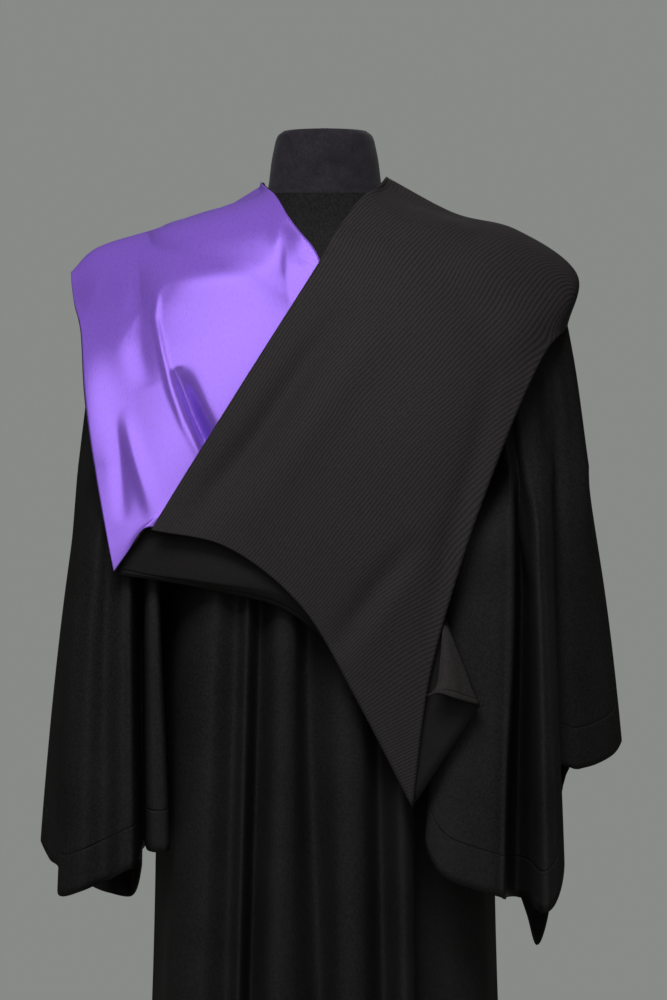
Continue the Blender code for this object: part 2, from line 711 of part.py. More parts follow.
def gown(finish):
    """Yoke, back, two fronts and two sleeves."""
    mirror = np.array((-1, 1, 1))
    cloth_wall("gown_yoke", *yoke_face(), GOWN_CLOTH, finish)
    cloth_wall("gown_back", *back_face(), GOWN_CLOTH, finish)
    front, out = front_face()
    cloth_wall("gown_front_right", front, out, GOWN_CLOTH, finish)
    cloth_wall("gown_front_left", front * mirror, out * mirror, GOWN_CLOTH, finish)
    for side, turn in (("left", mirror), ("right", 1)):
        points = sleeve_points(side)
        out = -normals(points, closed=True)
        cloth_wall(f"gown_sleeve_{side}", points * turn, out * turn, GOWN_CLOTH, finish, closed=True)


def front_joined(out):
    """The same normals, with the first row's turned straight ahead of the join between the two halves."""
    out[0, :, 0] = 0.0
    out[0] /= np.linalg.norm(out[0], axis=1)[:, None]
    return out


def hood(shell, lining):
    """The hood's right half, its lined left half turned out, the layer below them and its folded corner."""
    right = laid_over(panel_points(RIGHT_PANEL_ROWS, 10), RIGHT_HOOD_OFF)
    cloth_wall("hood_shell_right", right, front_joined(normals(right)), HOOD_CLOTH, shell)
    left = laid_over(panel_points(LEFT_PANEL_ROWS, 8), LEFT_HOOD_OFF)
    out = front_joined(-normals(left))
    cloth_wall("hood_lining_left", left, out, LINING_CLOTH, lining)
    cloth_wall("hood_shell_left", left - out * (LINING_CLOTH + LINING_GAP), out, LINING_CLOTH, shell)
    below = (("hood_under_layer", UNDER_LAYER_ROWS, 10), ("hood_corner", CORNER_ROWS, 4))
    for name, table, columns in below:
        points = panel_points(table, columns)
        cloth_wall(name, points, normals(points), HOOD_CLOTH, shell)


def main():
    for made in list(bpy.data.objects):
        bpy.data.objects.remove(made)
    gown_cloth = material("black crepe", (0.012, 0.011, 0.012), 0.85)
    hood_cloth = material("black ribbed cloth", (0.031, 0.029, 0.028), 0.85)
    satin = material("purple satin", (0.195, 0.102, 0.515), 0.35)
    form_cloth = material("black jersey", (0.024, 0.021, 0.027), 0.9)
    steel = material("black painted steel", (0.020, 0.020, 0.021), 0.4)
    form_body(form_cloth)
    stand(steel)
    gown(gown_cloth)
    hood(hood_cloth, satin)


main()
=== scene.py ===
import math

import bmesh
import bpy
import numpy as np
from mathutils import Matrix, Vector


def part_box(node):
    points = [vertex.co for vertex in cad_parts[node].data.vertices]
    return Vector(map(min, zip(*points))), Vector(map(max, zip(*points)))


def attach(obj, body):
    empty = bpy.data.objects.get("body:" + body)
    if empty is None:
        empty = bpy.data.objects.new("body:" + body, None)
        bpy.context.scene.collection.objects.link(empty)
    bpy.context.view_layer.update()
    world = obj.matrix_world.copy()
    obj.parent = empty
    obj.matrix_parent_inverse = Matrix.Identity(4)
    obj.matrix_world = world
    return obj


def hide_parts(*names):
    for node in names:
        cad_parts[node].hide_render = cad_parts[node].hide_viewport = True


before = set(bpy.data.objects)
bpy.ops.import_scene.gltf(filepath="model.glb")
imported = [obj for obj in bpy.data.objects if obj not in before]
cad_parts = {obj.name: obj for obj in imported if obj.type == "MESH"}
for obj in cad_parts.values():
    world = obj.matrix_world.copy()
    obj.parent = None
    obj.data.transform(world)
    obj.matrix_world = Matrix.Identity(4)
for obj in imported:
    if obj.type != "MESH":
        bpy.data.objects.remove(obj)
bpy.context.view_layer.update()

# The graduation gown, its hood and the dress form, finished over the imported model.
# Metres, +Z up. The gown's back faces -Y, and +X is on the right as that back is looked at.
# Tables hold millimetres.

MM = 0.001

# Heights of the gown's seams and edges
NECKLINE_Z = 1.474
YOKE_SEAM_Z = 1.360
CHEST_Z = 1.200
WAIST_Z = 0.972
KNEE_Z = 0.590
HEM_Z = 0.220

# Armhole: an upright oval on the side of the body
ARMHOLE_MID_Z = 1.313
ARMHOLE_HALF_HEIGHT = 0.113
ARMHOLE_HALF_DEPTH = 0.075
UNDERARM_DROP = 0.030
UNDERARM_OUT = 0.010

# Walls of cloth and the gaps between pieces
GOWN_CLOTH = 1.4 * MM
HOOD_CLOTH = 1.8 * MM
LINING_CLOTH = 1.2 * MM
SEAM_GAP = 0.5 * MM
ARMHOLE_GAP = 1.2 * MM
LINING_GAP = 0.9 * MM
RIGHT_HOOD_OFF = 7.2 * MM
LEFT_HOOD_OFF = 9.6 * MM
# The bound neck edge stands proud of the yoke
BINDING_WIDTH = 7 * MM
BINDING_PROUD = 0.7 * MM
# How much of its spread from waist to knee the skirt gains again below the knee
HEM_SPREAD = 0.8

# How finely the cloth is divided
BODY_STEP = 0.012
YOKE_STEP = 0.004
YOKE_POINTS = 81
SHOULDER_STEP = 0.006
FOLD_STEPS = 10
SLEEVE_STEPS = 7
SLEEVE_HEAD_RINGS = 22
SLEEVE_ARM_RINGS = 46
# Spans across and along each part of the hood
RIGHT_GRID = (90, 200)
LEFT_GRID = (130, 220)
UNDER_GRID = (60, 40)
CORNER_GRID = (24, 24)
EASING_PASSES = 6
LAYING_PASSES = 4
# Points nearer than this are one
MERGE = 0.01 * MM

# Relief on the hood and sleeves fades over this depth behind the axis, and towards the ends of its path
RELIEF_DEPTH = 0.06
RELIEF_FADE = 0.8

# The cords of the hood: how far apart they are drawn, the height on the cloth at which they aren't slanted,
# and their slant at its inner edge and for each metre across it
RIB_PITCH = 3.9 * MM
CORD_LEVEL = 0.25
CORD_SLANT = 0.03
CORD_SLANT_ACROSS = 0.6

# Stitched lines: their height above the edge of the gown and of the hood, and the half width of their furrow
GOWN_STITCH = 0.045
HOOD_STITCH = 0.006
STITCH_FURROW = 2.2 * MM

# The form's cover: its spans round the form and steps in height, above and below the neck's base
COVER_SPANS = 192
COVER_NECK_LOW_Z = 1.480
COVER_NECK_STEP = 1.5 * MM
COVER_BODY_STEP = 8 * MM
# Its seam, as half width and height of the furrow and of the rise that it lies in
NECK_RADIUS = 0.058
SEAM_FURROW = (1.2, -0.9)
SEAM_RISE = (4.5, 0.7)

# The foot's thickness and the radius of its rim, which is rounded through these angles
FOOT_THICKNESS = 0.014
FOOT_RIM = 0.003
FOOT_RIM_ANGLES = (math.pi / 2, 1.2, 0.8, 0.4, 0)
# The collar's outline: radius and height where it rises from the foot, and radius and height from its top
COLLAR_FILLET = ((0.034, FOOT_THICKNESS), (0.031, 0.0155), (0.030, 0.018))
COLLAR_TOP = ((0.030, -0.003), (0.029, -0.001), (0.027, 0.0))

# Dress form: height, half width, depth behind and in front of its axis, and how square the section is
FORM_ROWS = (
    (860, 148, 86, 92, 2.4),
    (930, 152, 88, 94, 2.4),
    (1080, 138, 86, 94, 2.4),
    (1200, 163, 104, 114, 2.6),
    (1300, 181, 108, 108, 2.8),
    (1360, 187, 105, 98, 2.8),
    (1394, 190, 97, 90, 2.7),
    (1422, 187, 88, 82, 2.5),
    (1430, 176, 84, 78, 2.4),
    (1440, 150, 78, 73, 2.3),
    (1450, 120, 72, 68, 2.2),
    (1462, 88, 65, 62, 2.1),
    (1474, 67, 61, 59, 2.0),
    (1486, 63.5, 59, 57, 2.0),
    (1501, 61.5, 57, 56, 2.0),
    (1515, 59.7, 56, 55, 2.0),
    (1531, 56.5, 54, 53, 2.0),
    (1538, 54.8, 52.5, 52, 2.0),
    (1543.5, 52.0, 50, 49.5, 2.0),
    (1547.5, 46.5, 45, 44.5, 2.0),
)

# How far the gown's outer face stands off the form, by height
LOOSENESS_ROWS = (
    (1200, 14.0),
    (1300, 9.0),
    (1360, 5.0),
    (1394, 3.8),
    (1430, 3.6),
    (1450, 3.0),
    (1478, 3.0),
)

# Side seam below the armhole: height and x
SIDE_SEAM_ROWS = (
    (220, 212),
    (590, 193),
    (972, 187),
    (1090, 186),
    (1200, 176),
)

# Folds of the back from the left side seam to the right one:
# name, proud at the chest, x and y at the waist, x and y at the knee
BACK_FOLDS = (
    ("left recess", -2, -166, -80, -181, -66),
    ("first fold's outer edge", 2, -147, -118, -169, -124),
    ("first fold", 5, -122, -140, -136, -149),
    ("soft valley", 0, -98, -128, -108, -135),
    ("second fold", 4, -84, -139, -93, -148),
    ("narrow valley", -1, -71, -114, -81, -112),
    ("third fold", 4, -53, -139, -61, -149),
    ("third fold's crease", 4, -34, -139, -37, -148),
    ("open valley", -1, -18, -116, -6, -117),
    ("fourth fold", 4, 12, -139, 18, -149),
    ("fourth fold's crease", 4, 39, -137, 42, -147),
    ("shaded valley", -1, 57, -114, 64, -113),
    ("fifth fold", 4, 77, -135, 84, -143),
    ("fifth fold's edge", 3, 92, -126, 97, -130),
    ("right recess", -1, 101, -96, 103, -72),
    ("plain side", 0, 140, -84, 146, -64),
    ("plain side's turn", 1, 169, -52, 177, -44),
)

# Folds of one front, from its side seam to its free edge, on the right side
FRONT_FOLDS = (
    ("side valley", 0, 168, 64, 177, 62),
    ("side fold", 4, 150, 106, 159, 118),
    ("valley", 0, 131, 112, 137, 106),
    ("wide fold", 4, 105, 130, 110, 141),
    ("shallow valley", 0, 76, 122, 79, 122),
    ("inner fold", 4, 55, 135, 57, 144),
    ("valley beside the edge", 1, 29, 126, 30, 126),
)
# The front's free edge: height, x and y below the chest, and height and x above it
FRONT_EDGE_ROWS = (
    (220, 3, 150),
    (590, 3, 142),
    (972, 2, 133),
    (1200, 2, 130),
)
FRONT_EDGE_X_ABOVE = (
    (1200, 2),
    (1330, 2),
    (1380, 3),
    (1412, 13),
    (1474, 50),
)

# Path of the sleeve's outermost line, from the top of the armhole to the level of the armpit: stage, out, up
SLEEVE_HEADS = {
    "left": (
        (0.0, 0, 0), (0.15, 25, -2), (0.3, 48, -18), (0.45, 63, -44), (0.7, 71, -108), (1.0, 86, -226),
    ),
    "right": (
        (0.0, 0, 0), (0.15, 27, -2), (0.3, 52, -16), (0.45, 71, -43), (0.7, 88, -106), (1.0, 106, -226),
    ),
}

# Heights at the sleeve's middle, low down and at the end of its curves
SLEEVE_MID_Z = 1.030
SLEEVE_LOW_Z = 0.790
SLEEVE_END_Z = 0.550
# How much of its spread from the middle down the sleeve gains again below
SLEEVE_SPREAD = 0.6
# Gathered cloth below the armhole: its share of the height from the middle up to there, and its share of the
# way in or out, at the inside and what is added at the outermost line
GATHER_SHARE = 0.7
GATHER_INSIDE = 0.22
GATHER_ADDED = 0.48
# Folds round each sleeve, from its outermost line by the back, the inside and the front.
# x grows away from the body: share of the ring, proud at the armpit, x and y at the middle,
# x and y low down, height of the hem
SLEEVE_FOLDS = {
    "right": (
        (0.000, 0, 313, -10, 338, -15, 868),
        (0.035, 0, 306, -30, 328, -35, 855),
        (0.075, 1, 291, -52, 308, -57, 845),
        (0.125, -1, 270, -72, 281, -80, 839),
        (0.165, -4, 247, -84, 252, -92, 834),
        (0.198, 7, 249, -112, 260, -122, 738),
        (0.222, 9, 240, -126, 249, -142, 698),
        (0.248, 6, 229, -120, 232, -136, 688),
        (0.260, -3, 225, -86, 225, -86, 694),
        (0.274, -9, 217, -68, 213, -62, 697),
        (0.288, -2, 209, -88, 202, -88, 699),
        (0.300, 6, 206, -118, 199, -132, 701),
        (0.320, 7, 196, -126, 190, -144, 705),
        (0.350, 6, 172, -129, 165, -150, 713),
        (0.388, 10, 145, -128, 127, -150, 732),
        (0.412, 9, 134, -120, 111, -140, 762),
        (0.440, 5, 147, -108, 122, -122, 778),
        (0.470, 0, 184, -74, 176, -84, 765),
        (0.500, 0, 194, 0, 203, 0, 745),
        (0.580, 1, 199, 64, 206, 74, 722),
        (0.660, 5, 218, 104, 218, 118, 700),
        (0.705, 1, 236, 98, 233, 108, 660),
        (0.740, -2, 246, 90, 243, 96, 628),
        (0.775, -3, 254, 82, 253, 86, 656),
        (0.810, -3, 260, 76, 261, 76, 720),
        (0.850, 0, 268, 68, 270, 66, 812),
        (0.910, 0, 290, 58, 304, 62, 852),
        (0.957, 0, 305, 28, 326, 28, 862),
    ),
    "left": (
        (0.000, 0, 291, -5, 315, -10, 756),
        (0.055, 1, 284, -42, 302, -52, 738),
        (0.110, -1, 277, -72, 290, -80, 728),
        (0.150, 3, 272, -100, 288, -108, 704),
        (0.200, 4, 254, -122, 264, -131, 709),
        (0.250, 0, 237, -116, 240, -124, 720),
        (0.298, 5, 217, -129, 217, -139, 732),
        (0.318, 4, 210, -122, 207, -132, 737),
        (0.334, -2, 207, -84, 204, -86, 744),
        (0.350, -6, 203, -60, 201, -58, 760),
        (0.364, -2, 199, -84, 198, -86, 758),
        (0.377, 3, 196, -117, 194, -126, 754),
        (0.400, 3, 184, -127, 176, -136, 752),
        (0.425, 1, 180, -112, 170, -121, 757),
        (0.455, 0, 187, -84, 184, -90, 765),
        (0.500, 0, 196, 0, 205, 0, 742),
        (0.580, 1, 199, 62, 206, 68, 722),
        (0.660, 5, 214, 104, 218, 114, 684),
        (0.740, -2, 240, 88, 244, 90, 688),
        (0.820, 1, 262, 96, 272, 104, 700),
        (0.890, -1, 275, 60, 289, 62, 724),
        (0.950, 0, 288, 28, 306, 28, 742),
    ),
}

# The hood's panels, in rows across the cloth, each from the neck side to the outer side:
# five points of x, y and z
ACROSS = (0.0, 0.25, 0.5, 0.78, 1.0)
RIGHT_PANEL_ROWS = (
    ("front join",
     (0.3, 148, 1292), (0.3, 149, 1276), (0.3, 150, 1258), (0.3, 150, 1240), (0.3, 150, 1226)),
    ("front band",
     (47, 130, 1354), (66, 138, 1333), (84, 142, 1312), (101, 143, 1288), (111, 142, 1268)),
    ("front chest",
     (68, 92, 1420), (106, 112, 1390), (147, 121, 1357), (189, 119, 1318), (204, 116, 1290)),
    ("front shoulder",
     (70, 42, 1474), (138, 58, 1443), (203, 68, 1414), (266, 72, 1362), (262, 84, 1316)),
    ("shoulder line",
     (65.5, 0, 1497), (143, 0, 1457), (213, 0, 1439), (283, 0, 1386), (271, -2, 1331)),
    ("back shoulder",
     (17, -92, 1438), (107, -82, 1425), (190, -76, 1405), (266, -52, 1362), (264, -58, 1322)),
    ("point of the V",
     (-7, -112, 1395), (64, -122, 1378), (132, -123, 1352), (205, -110, 1322), (243, -92, 1298)),
    ("shoulder blade",
     (-55, -134, 1318), (15, -144, 1300), (85, -146, 1277), (156, -139, 1254), (213, -122, 1238)),
    ("mid back",
     (-103, -151, 1241), (-31, -159, 1224), (40, -162, 1204), (115, -157, 1181), (181.5, -143, 1160)),
    ("small of back",
     (-146, -160, 1172), (-72, -166, 1152), (4, -169, 1127), (84, -166, 1094), (148, -157, 1066)),
    ("above the hem",
     (-173, -164, 1128), (-94, -169, 1112), (-14, -171, 1071), (67, -170, 1002), (113, -165, 940)),
    ("hem",
     (-188, -166, 1103), (-105, -170, 1084), (-27, -171, 1022), (36, -170, 916), (95, -167, 802)),
)
LEFT_PANEL_ROWS = (
    ("front join",
     (-0.3, 148, 1292), (-0.3, 149, 1276), (-0.3, 150, 1258), (-0.3, 150, 1240), (-0.3, 150, 1226)),
    ("front band",
     (-47, 130, 1354), (-66, 138, 1333), (-84, 142, 1312), (-101, 143, 1288), (-111, 142, 1268)),
    ("front chest",
     (-68, 92, 1420), (-106, 112, 1390), (-147, 121, 1357), (-189, 119, 1318), (-207, 116, 1290)),
    ("front shoulder",
     (-70, 42, 1472), (-134, 58, 1441), (-198, 66, 1410), (-256, 56, 1368), (-272, 48, 1330)),
    ("shoulder line",
     (-64.5, 0, 1490), (-123, 0, 1456), (-196, 0, 1437), (-259, 0, 1416), (-283, -8, 1390)),
    ("back shoulder",
     (-42, -84, 1450), (-104, -82, 1419), (-179, -78, 1396), (-244, -62, 1368), (-279, -38, 1357)),
    ("point of the V",
     (-4, -99, 1392), (-78, -115, 1361), (-152, -114, 1336), (-222, -103, 1316), (-267, -80, 1318)),
    ("shoulder blade",
     (-18, -122, 1332), (-82, -134, 1300), (-148, -135, 1275), (-212, -125, 1256), (-260, -112, 1245)),
    ("mid back",
     (-62, -137, 1250), (-110, -145, 1226), (-160, -147, 1202), (-209, -141, 1182), (-250, -132, 1168)),
    ("small of back",
     (-128, -147, 1160), (-154, -152, 1145), (-182, -153, 1127), (-211, -150, 1108), (-236, -146, 1092)),
    ("hem",
     (-176, -155, 1104), (-192, -156, 1106), (-203, -155, 1099), (-213, -153, 1081), (-229, -150, 1058)),
)
UNDER_LAYER_ROWS = (
    ("top",
     (-210, -134, 1128), (-130, -140, 1165), (-45, -149, 1160), (50, -152, 1110), (116, -148, 1046)),
    ("belly",
     (-218, -140, 1086), (-136, -152, 1092), (-44, -160, 1066), (44, -160, 1014), (134, -152, 1000)),
    ("corner",
     (-225, -140, 1063), (-128, -156, 1052), (-39, -162, 1036), (38, -160, 962), (166, -157, 918)),
    ("turn",
     (-226, -140, 1058), (-124, -154, 1044), (-37, -159, 1023), (34, -158, 949), (161, -158, 903)),
    ("hem",
     (-227, -139, 1055), (-120, -147, 1037), (-36, -152, 1012), (30, -156, 936), (95.5, -164.6, 804)),
)
CORNER_ROWS = (
    ("point",
     (128, -157, 1002), (129, -157, 1001), (131, -157, 1000), (132, -157, 999), (133, -157, 998)),
    ("middle",
     (124, -168, 957), (130, -171, 957), (137, -170, 956), (144, -165, 956), (151, -159.5, 956)),
    ("notch",
     (120, -177, 934), (130, -180, 935), (141, -177, 933), (150, -170, 931), (159, -161, 934)),
    ("hem",
     (110, -182, 925), (122, -184, 928), (138, -181, 923), (154, -172, 918), (168, -161.5, 914)),
)

# Soft ridges and troughs of the hanging cloth, drawn on the back: name, height, half width,
# and a path of x and z. A pair of half widths is for the two sides of the path, the right of its way first
SATIN_FOLDS = (
    ("edge of the shoulder", 9.0, 32, ((-204, 1370), (-42, 1383))),
    ("rolled ridge", 2.4, 4.0, (
        (-172, 1378), (-184, 1362), (-186, 1334), (-178, 1299), (-167, 1255), (-153, 1217), (-130, 1172),
    )),
    ("hollow left of the ridge", -4.0, 14, ((-208, 1400), (-206, 1346), (-202, 1296), (-192, 1258))),
    ("hollow of the shoulder", -3.5, 26, ((-256, 1362), (-228, 1352), (-206, 1340))),
    ("swell of the left edge", 5.5, 26, ((-276, 1340), (-266, 1290), (-258, 1236), (-250, 1170))),
    ("tuck under the ridge", -20.0, (3, 13), (
        (-165, 1280), (-147, 1232), (-132, 1200), (-112, 1166), (-92, 1134),
    )),
    ("furrow at the low left", -2.4, 9, ((-226, 1236), (-223, 1184), (-219, 1110))),
    ("ridge at the low left", 3.0, 9, ((-224, 1232), (-206, 1180), (-182, 1110))),
    ("fold by the neck", 3.5, 11, ((-48, 1476), (-48, 1430), (-52, 1380))),
    ("hollow by the neck", -2.0, 10, ((-26, 1452), (-24, 1420), (-26, 1392))),
)
RIB_FOLDS = (
    ("upper trough", -9.0, 17, ((30, 1352), (-20, 1286), (-76, 1200), (-120, 1146), (-150, 1100))),
    ("upper ridge", 4.0, 24, ((70, 1330), (14, 1262), (-36, 1180), (-86, 1100))),
    ("lower trough", -6.0, 15, ((104, 1100), (58, 1040), (6, 966))),
    ("lower ridge", 2.5, 22, ((120, 1130), (84, 1068), (52, 1000), (40, 940))),
    ("trough along the edge", -3.0, 14, ((186, 1290), (166, 1190), (136, 1090), (106, 960))),
    ("shoulder hollow", -4.0, 30, ((110, 1400), (170, 1340), (200, 1260))),
)
UNDER_FOLDS = (
    ("sag", -2.5, 14, ((-190, 1100), (-120, 1086), (-60, 1062))),
    ("crease by the notch", -2.0, 8, ((-30, 1040), (-6, 1000), (24, 950))),
)
SLEEVE_CREASES = {
    "right": (
        ("slanting fold", 9.0, 5, ((205, 1246), (212, 1180), (220, 1110), (226, 1040))),
        ("edge of the wide fold", 3.0, 4, ((247, 1306), (248, 1200), (250, 1100), (252, 1000), (256, 870))),
        ("crease by the shoulder", 3.0, 4, ((254, 1296), (262, 1256), (271, 1206))),
        ("edge of the inner fold", 2.5, 4, ((204, 1226), (207, 1150), (207, 1030), (202, 860))),
    ),
    "left": (
        ("edge of the outer panel", 2.5, 4, ((268, 1180), (270, 1080), (276, 960), (286, 820))),
        ("edge of the valley", 2.0, 4, ((214, 1040), (213, 940), (211, 840))),
        ("soft fold of the panel", 2.0, 12, ((246, 1120), (248, 1000), (252, 860))),
    ),
}


def smooth(keys, values, at):
    """Values at `at` on a smooth curve through rows of values placed at rising keys."""
    keys = np.asarray(keys, float)
    values = np.asarray(values, float).reshape(len(keys), -1)
    at = np.asarray(at, float)
    step = np.diff(keys)[:, None]
    slope = np.diff(values, axis=0) / step
    inner = (slope[:-1] * step[1:] + slope[1:] * step[:-1]) / (step[:-1] + step[1:])
    tangent = np.vstack([slope[:1], inner, slope[-1:]])
    i = np.clip(np.searchsorted(keys, at, side="right") - 1, 0, len(step) - 1)
    h = step[i]
    t = (at - keys[i])[..., None] / h
    rise = t * t * (3 - 2 * t)
    start = t * (1 - t) ** 2 * h * tangent[i]
    end = t * t * (t - 1) * h * tangent[i + 1]
    return values[i] * (1 - rise) + values[i + 1] * rise + start + end


def by_height(rows, z):
    """The other columns of a table in millimetres, at height z, in metres.

    The table's first column is its height.
    """
    table = np.array(rows, float)
    heights = table[:, 0] * MM
    return smooth(heights, table[:, 1:] * MM, np.clip(z, heights[0], heights[-1]))


def form_section(z):
    """Half width, depth behind, depth in front and squareness of the form at a height."""
    half, back, front, squareness = np.moveaxis(by_height(FORM_ROWS, z), -1, 0)
    return half, back, front, squareness / MM


def form_level(points):
    """1 on the form's face, less inside it and more outside it."""
    half, back, front, n = form_section(points[..., 2])
    depth = np.where(points[..., 1] < 0, back, front)
    return ((np.abs(points[..., 0]) / half) ** n + (np.abs(points[..., 1]) / depth) ** n) ** (1 / n)


def form_slope(points):
    """The way in which form_level rises, by its change over a millimetre along each axis."""
    steps = np.eye(3) * MM / 2
    return np.stack([(form_level(points + step) - form_level(points - step)) / MM for step in steps], axis=-1)


def form_point(angle, z):
    """Points on the dress form.

    The angle turns from -Y towards +X, as on an ellipse of the form's own depths.
    """
    angle, z = np.broadcast_arrays(np.asarray(angle, float), np.asarray(z, float))
    half, back, front, _n = form_section(z)
    depth = np.where(np.cos(angle) > 0, back, front)
    ring = np.stack([half * np.sin(angle), -depth * np.cos(angle), z], axis=-1)
    scale = form_level(ring)
    return np.stack([ring[..., 0] / scale, ring[..., 1] / scale, z], axis=-1)


def body_normal(angle, z):
    """The way out of the dress form's face."""
    slope = form_slope(form_point(angle, z))
    return slope / np.linalg.norm(slope, axis=-1)[..., None]


def body_point(angle, z):
    """Points of the gown's outer face where it follows the form."""
    return form_point(angle, z) + body_normal(angle, z) * by_height(LOOSENESS_ROWS, z)


def laid_over(points, off):
    """The same points, each moved out of the form until it is `off` metres from it."""
    points = points.copy()
    for _ in range(LAYING_PASSES):
        slope = form_slope(points)
        size = np.linalg.norm(slope, axis=-1)
        short = np.maximum(0.0, off - (form_level(points) - 1) / size)
        points += slope / size[..., None] * short[..., None]
    return points


def armhole_depth(z):
    """Half depth of the armhole at a height, or 0 above and below it."""
    share = (z - ARMHOLE_MID_Z) / ARMHOLE_HALF_HEIGHT
    return ARMHOLE_HALF_DEPTH * math.sqrt(max(0.0, 1 - share * share))


def angle_at(z, front, across=None, along=None):
    """The angle of the form's point that lies `across` metres along X, or `along` metres along Y.

    It is on the front or on the back.
    """
    half, back, ahead, n = form_section(z)
    depth = ahead if front else back
    if across is None:
        across = half * (1 - (along / depth) ** n) ** (1 / n)
    else:
        along = depth * (1 - (across / half) ** n) ** (1 / n)
    angle = math.atan2(across / half, along / depth)
    return math.pi - angle if front else angle


def armhole_angle(z, front):
    """Angle at which the armhole's edge, the shoulder line or the side seam lies at a height."""
    return angle_at(z, front, along=armhole_depth(z))


def body_depth(x, z, front):
    """How far the gown's face lies behind or in front of the axis, at x and z."""
    half, back, ahead, n = form_section(z)
    off = by_height(LOOSENESS_ROWS, z)[0]
    depth = (ahead if front else back) + off
    inside = max(0.0, 1 - (abs(x) / (half + off)) ** n)
    return depth * inside ** (1 / n)


def spread(stations, per_span):
    """Rising places from the first station to the last, per_span of them for each span between stations."""
    places = []
    for low, high in zip(stations, stations[1:]):
        places += [low + (high - low) * k / per_span for k in range(per_span)]
    return places + [stations[-1]]


def levels(high, low, step):
    """Heights from high to low, about a step apart."""
    return np.linspace(high, low, max(2, round((high - low) / step) + 1))


def edge_angle(z, front):
    """Angle of a panel's outer edge, half a seam's gap from the armhole or the shoulder line."""
    turn = SEAM_GAP / 2 / form_section(z)[1]
    return armhole_angle(z, front) + (turn if front else -turn)


def yoke_face():
    """The yoke's outer face, from the neckline and shoulder lines down to the yoke's seam.

    Its top edge is bound.
    """
    heights = levels(NECKLINE_Z, YOKE_SEAM_Z + SEAM_GAP / 2, YOKE_STEP)
    share = np.linspace(-1, 1, YOKE_POINTS)
    angles = np.array([edge_angle(z, False) * share for z in heights])
    binding = np.where(heights > NECKLINE_Z - BINDING_WIDTH, BINDING_PROUD, 0.0)[:, None, None]
    face = body_point(angles, heights[:, None])
    return face + body_normal(angles, heights[:, None]) * binding


def fold_stations(folds, front, z):
    """Where each fold of a panel is at height z.

    It follows its row below the chest, and is spread over the body above it.
    """
    face = 1 if front else -1
    side_x = side_edge(max(z, CHEST_Z), front)[0]
    waist_side_x = by_height(SIDE_SEAM_ROWS, WAIST_Z)[0]
    fade = (YOKE_SEAM_Z - max(z, CHEST_Z)) / (YOKE_SEAM_Z - CHEST_Z)
    points = []
    for _name, proud, waist_x, waist_y, knee_x, knee_y in folds:
        x = waist_x * MM / waist_side_x * side_x
        chest = (x, face * (body_depth(x, max(z, CHEST_Z), front) + proud * MM * fade))
        if z >= CHEST_Z:
            points.append(chest)
            continue
        hem = (knee_x + (knee_x - waist_x) * HEM_SPREAD, knee_y + (knee_y - waist_y) * HEM_SPREAD)
        stations = np.array((hem, (knee_x, knee_y), (waist_x, waist_y))) * MM
        points.append(smooth((HEM_Z, KNEE_Z, WAIST_Z, CHEST_Z), (*stations, chest), z))
    return points


def side_edge(z, front):
    """A panel's outer end at height z: the armhole's edge, or the side seam below it."""
    if z >= CHEST_Z:
        return body_point(edge_angle(z, front), z)
    x = by_height(SIDE_SEAM_ROWS, z)[0]
    return np.array((x, SEAM_GAP / 2 if front else -SEAM_GAP / 2, z))


def panel_row(knots, z):
    """One row of a gathered panel, on a smooth curve through its folds."""
    keys = list(range(len(knots)))
    row = smooth(keys, knots, spread(keys, FOLD_STEPS))
    return np.column_stack([row, np.full(len(row), z)])


def back_face():
    """The back's outer face, in rows from the yoke's seam to the hem, from left to right."""
    rows = []
    for z in levels(YOKE_SEAM_Z - SEAM_GAP / 2, HEM_Z, BODY_STEP):
        right = side_edge(z, False)[:2]
        rows.append(panel_row([right * (-1, 1), *fold_stations(BACK_FOLDS, False, z), right], z))
    return np.array(rows)


def front_face():
    """The right front's outer face, in rows from the shoulder line to the hem."""
    rows = []
    shoulder = levels(NECKLINE_Z, YOKE_SEAM_Z, SHOULDER_STEP)
    spans = (len(FRONT_FOLDS) + 1) * FOLD_STEPS
    for z in (*shoulder, *levels(YOKE_SEAM_Z - SEAM_GAP, HEM_Z, BODY_STEP)):
        x = by_height(FRONT_EDGE_X_ABOVE, z)[0]
        if z >= YOKE_SEAM_Z:
            angles = np.linspace(edge_angle(z, True), angle_at(z, True, across=x), spans + 1)
            rows.append(body_point(angles, z))
            continue
        edge = np.array((x, body_depth(x, z, True))) if z >= CHEST_Z else by_height(FRONT_EDGE_ROWS, z)
        rows.append(panel_row([side_edge(z, True)[:2], *fold_stations(FRONT_FOLDS, True, z), edge], z))
    return np.array(rows)


def armhole_point(share):
    """A point of the armhole, a small gap outside the body's edge.

    Share 0 is its top, and it turns by the back.
    """
    turn = math.pi / 2 + 2 * math.pi * share
    z = ARMHOLE_MID_Z + ARMHOLE_HALF_HEIGHT * math.sin(turn)
    angle = armhole_angle(z, math.cos(turn) > 1e-6)
    return body_point(angle, z) + body_normal(angle, z) * ARMHOLE_GAP


def around(shares, values, at):
    """Values at places on a smooth closed ring."""
    shares = np.asarray(shares, float)
    values = np.asarray(values, float)
    keys = np.concatenate([shares[-2:] - 1, shares, shares[:2] + 1])
    return smooth(keys, np.concatenate([values[-2:], values, values[:2]]), at)


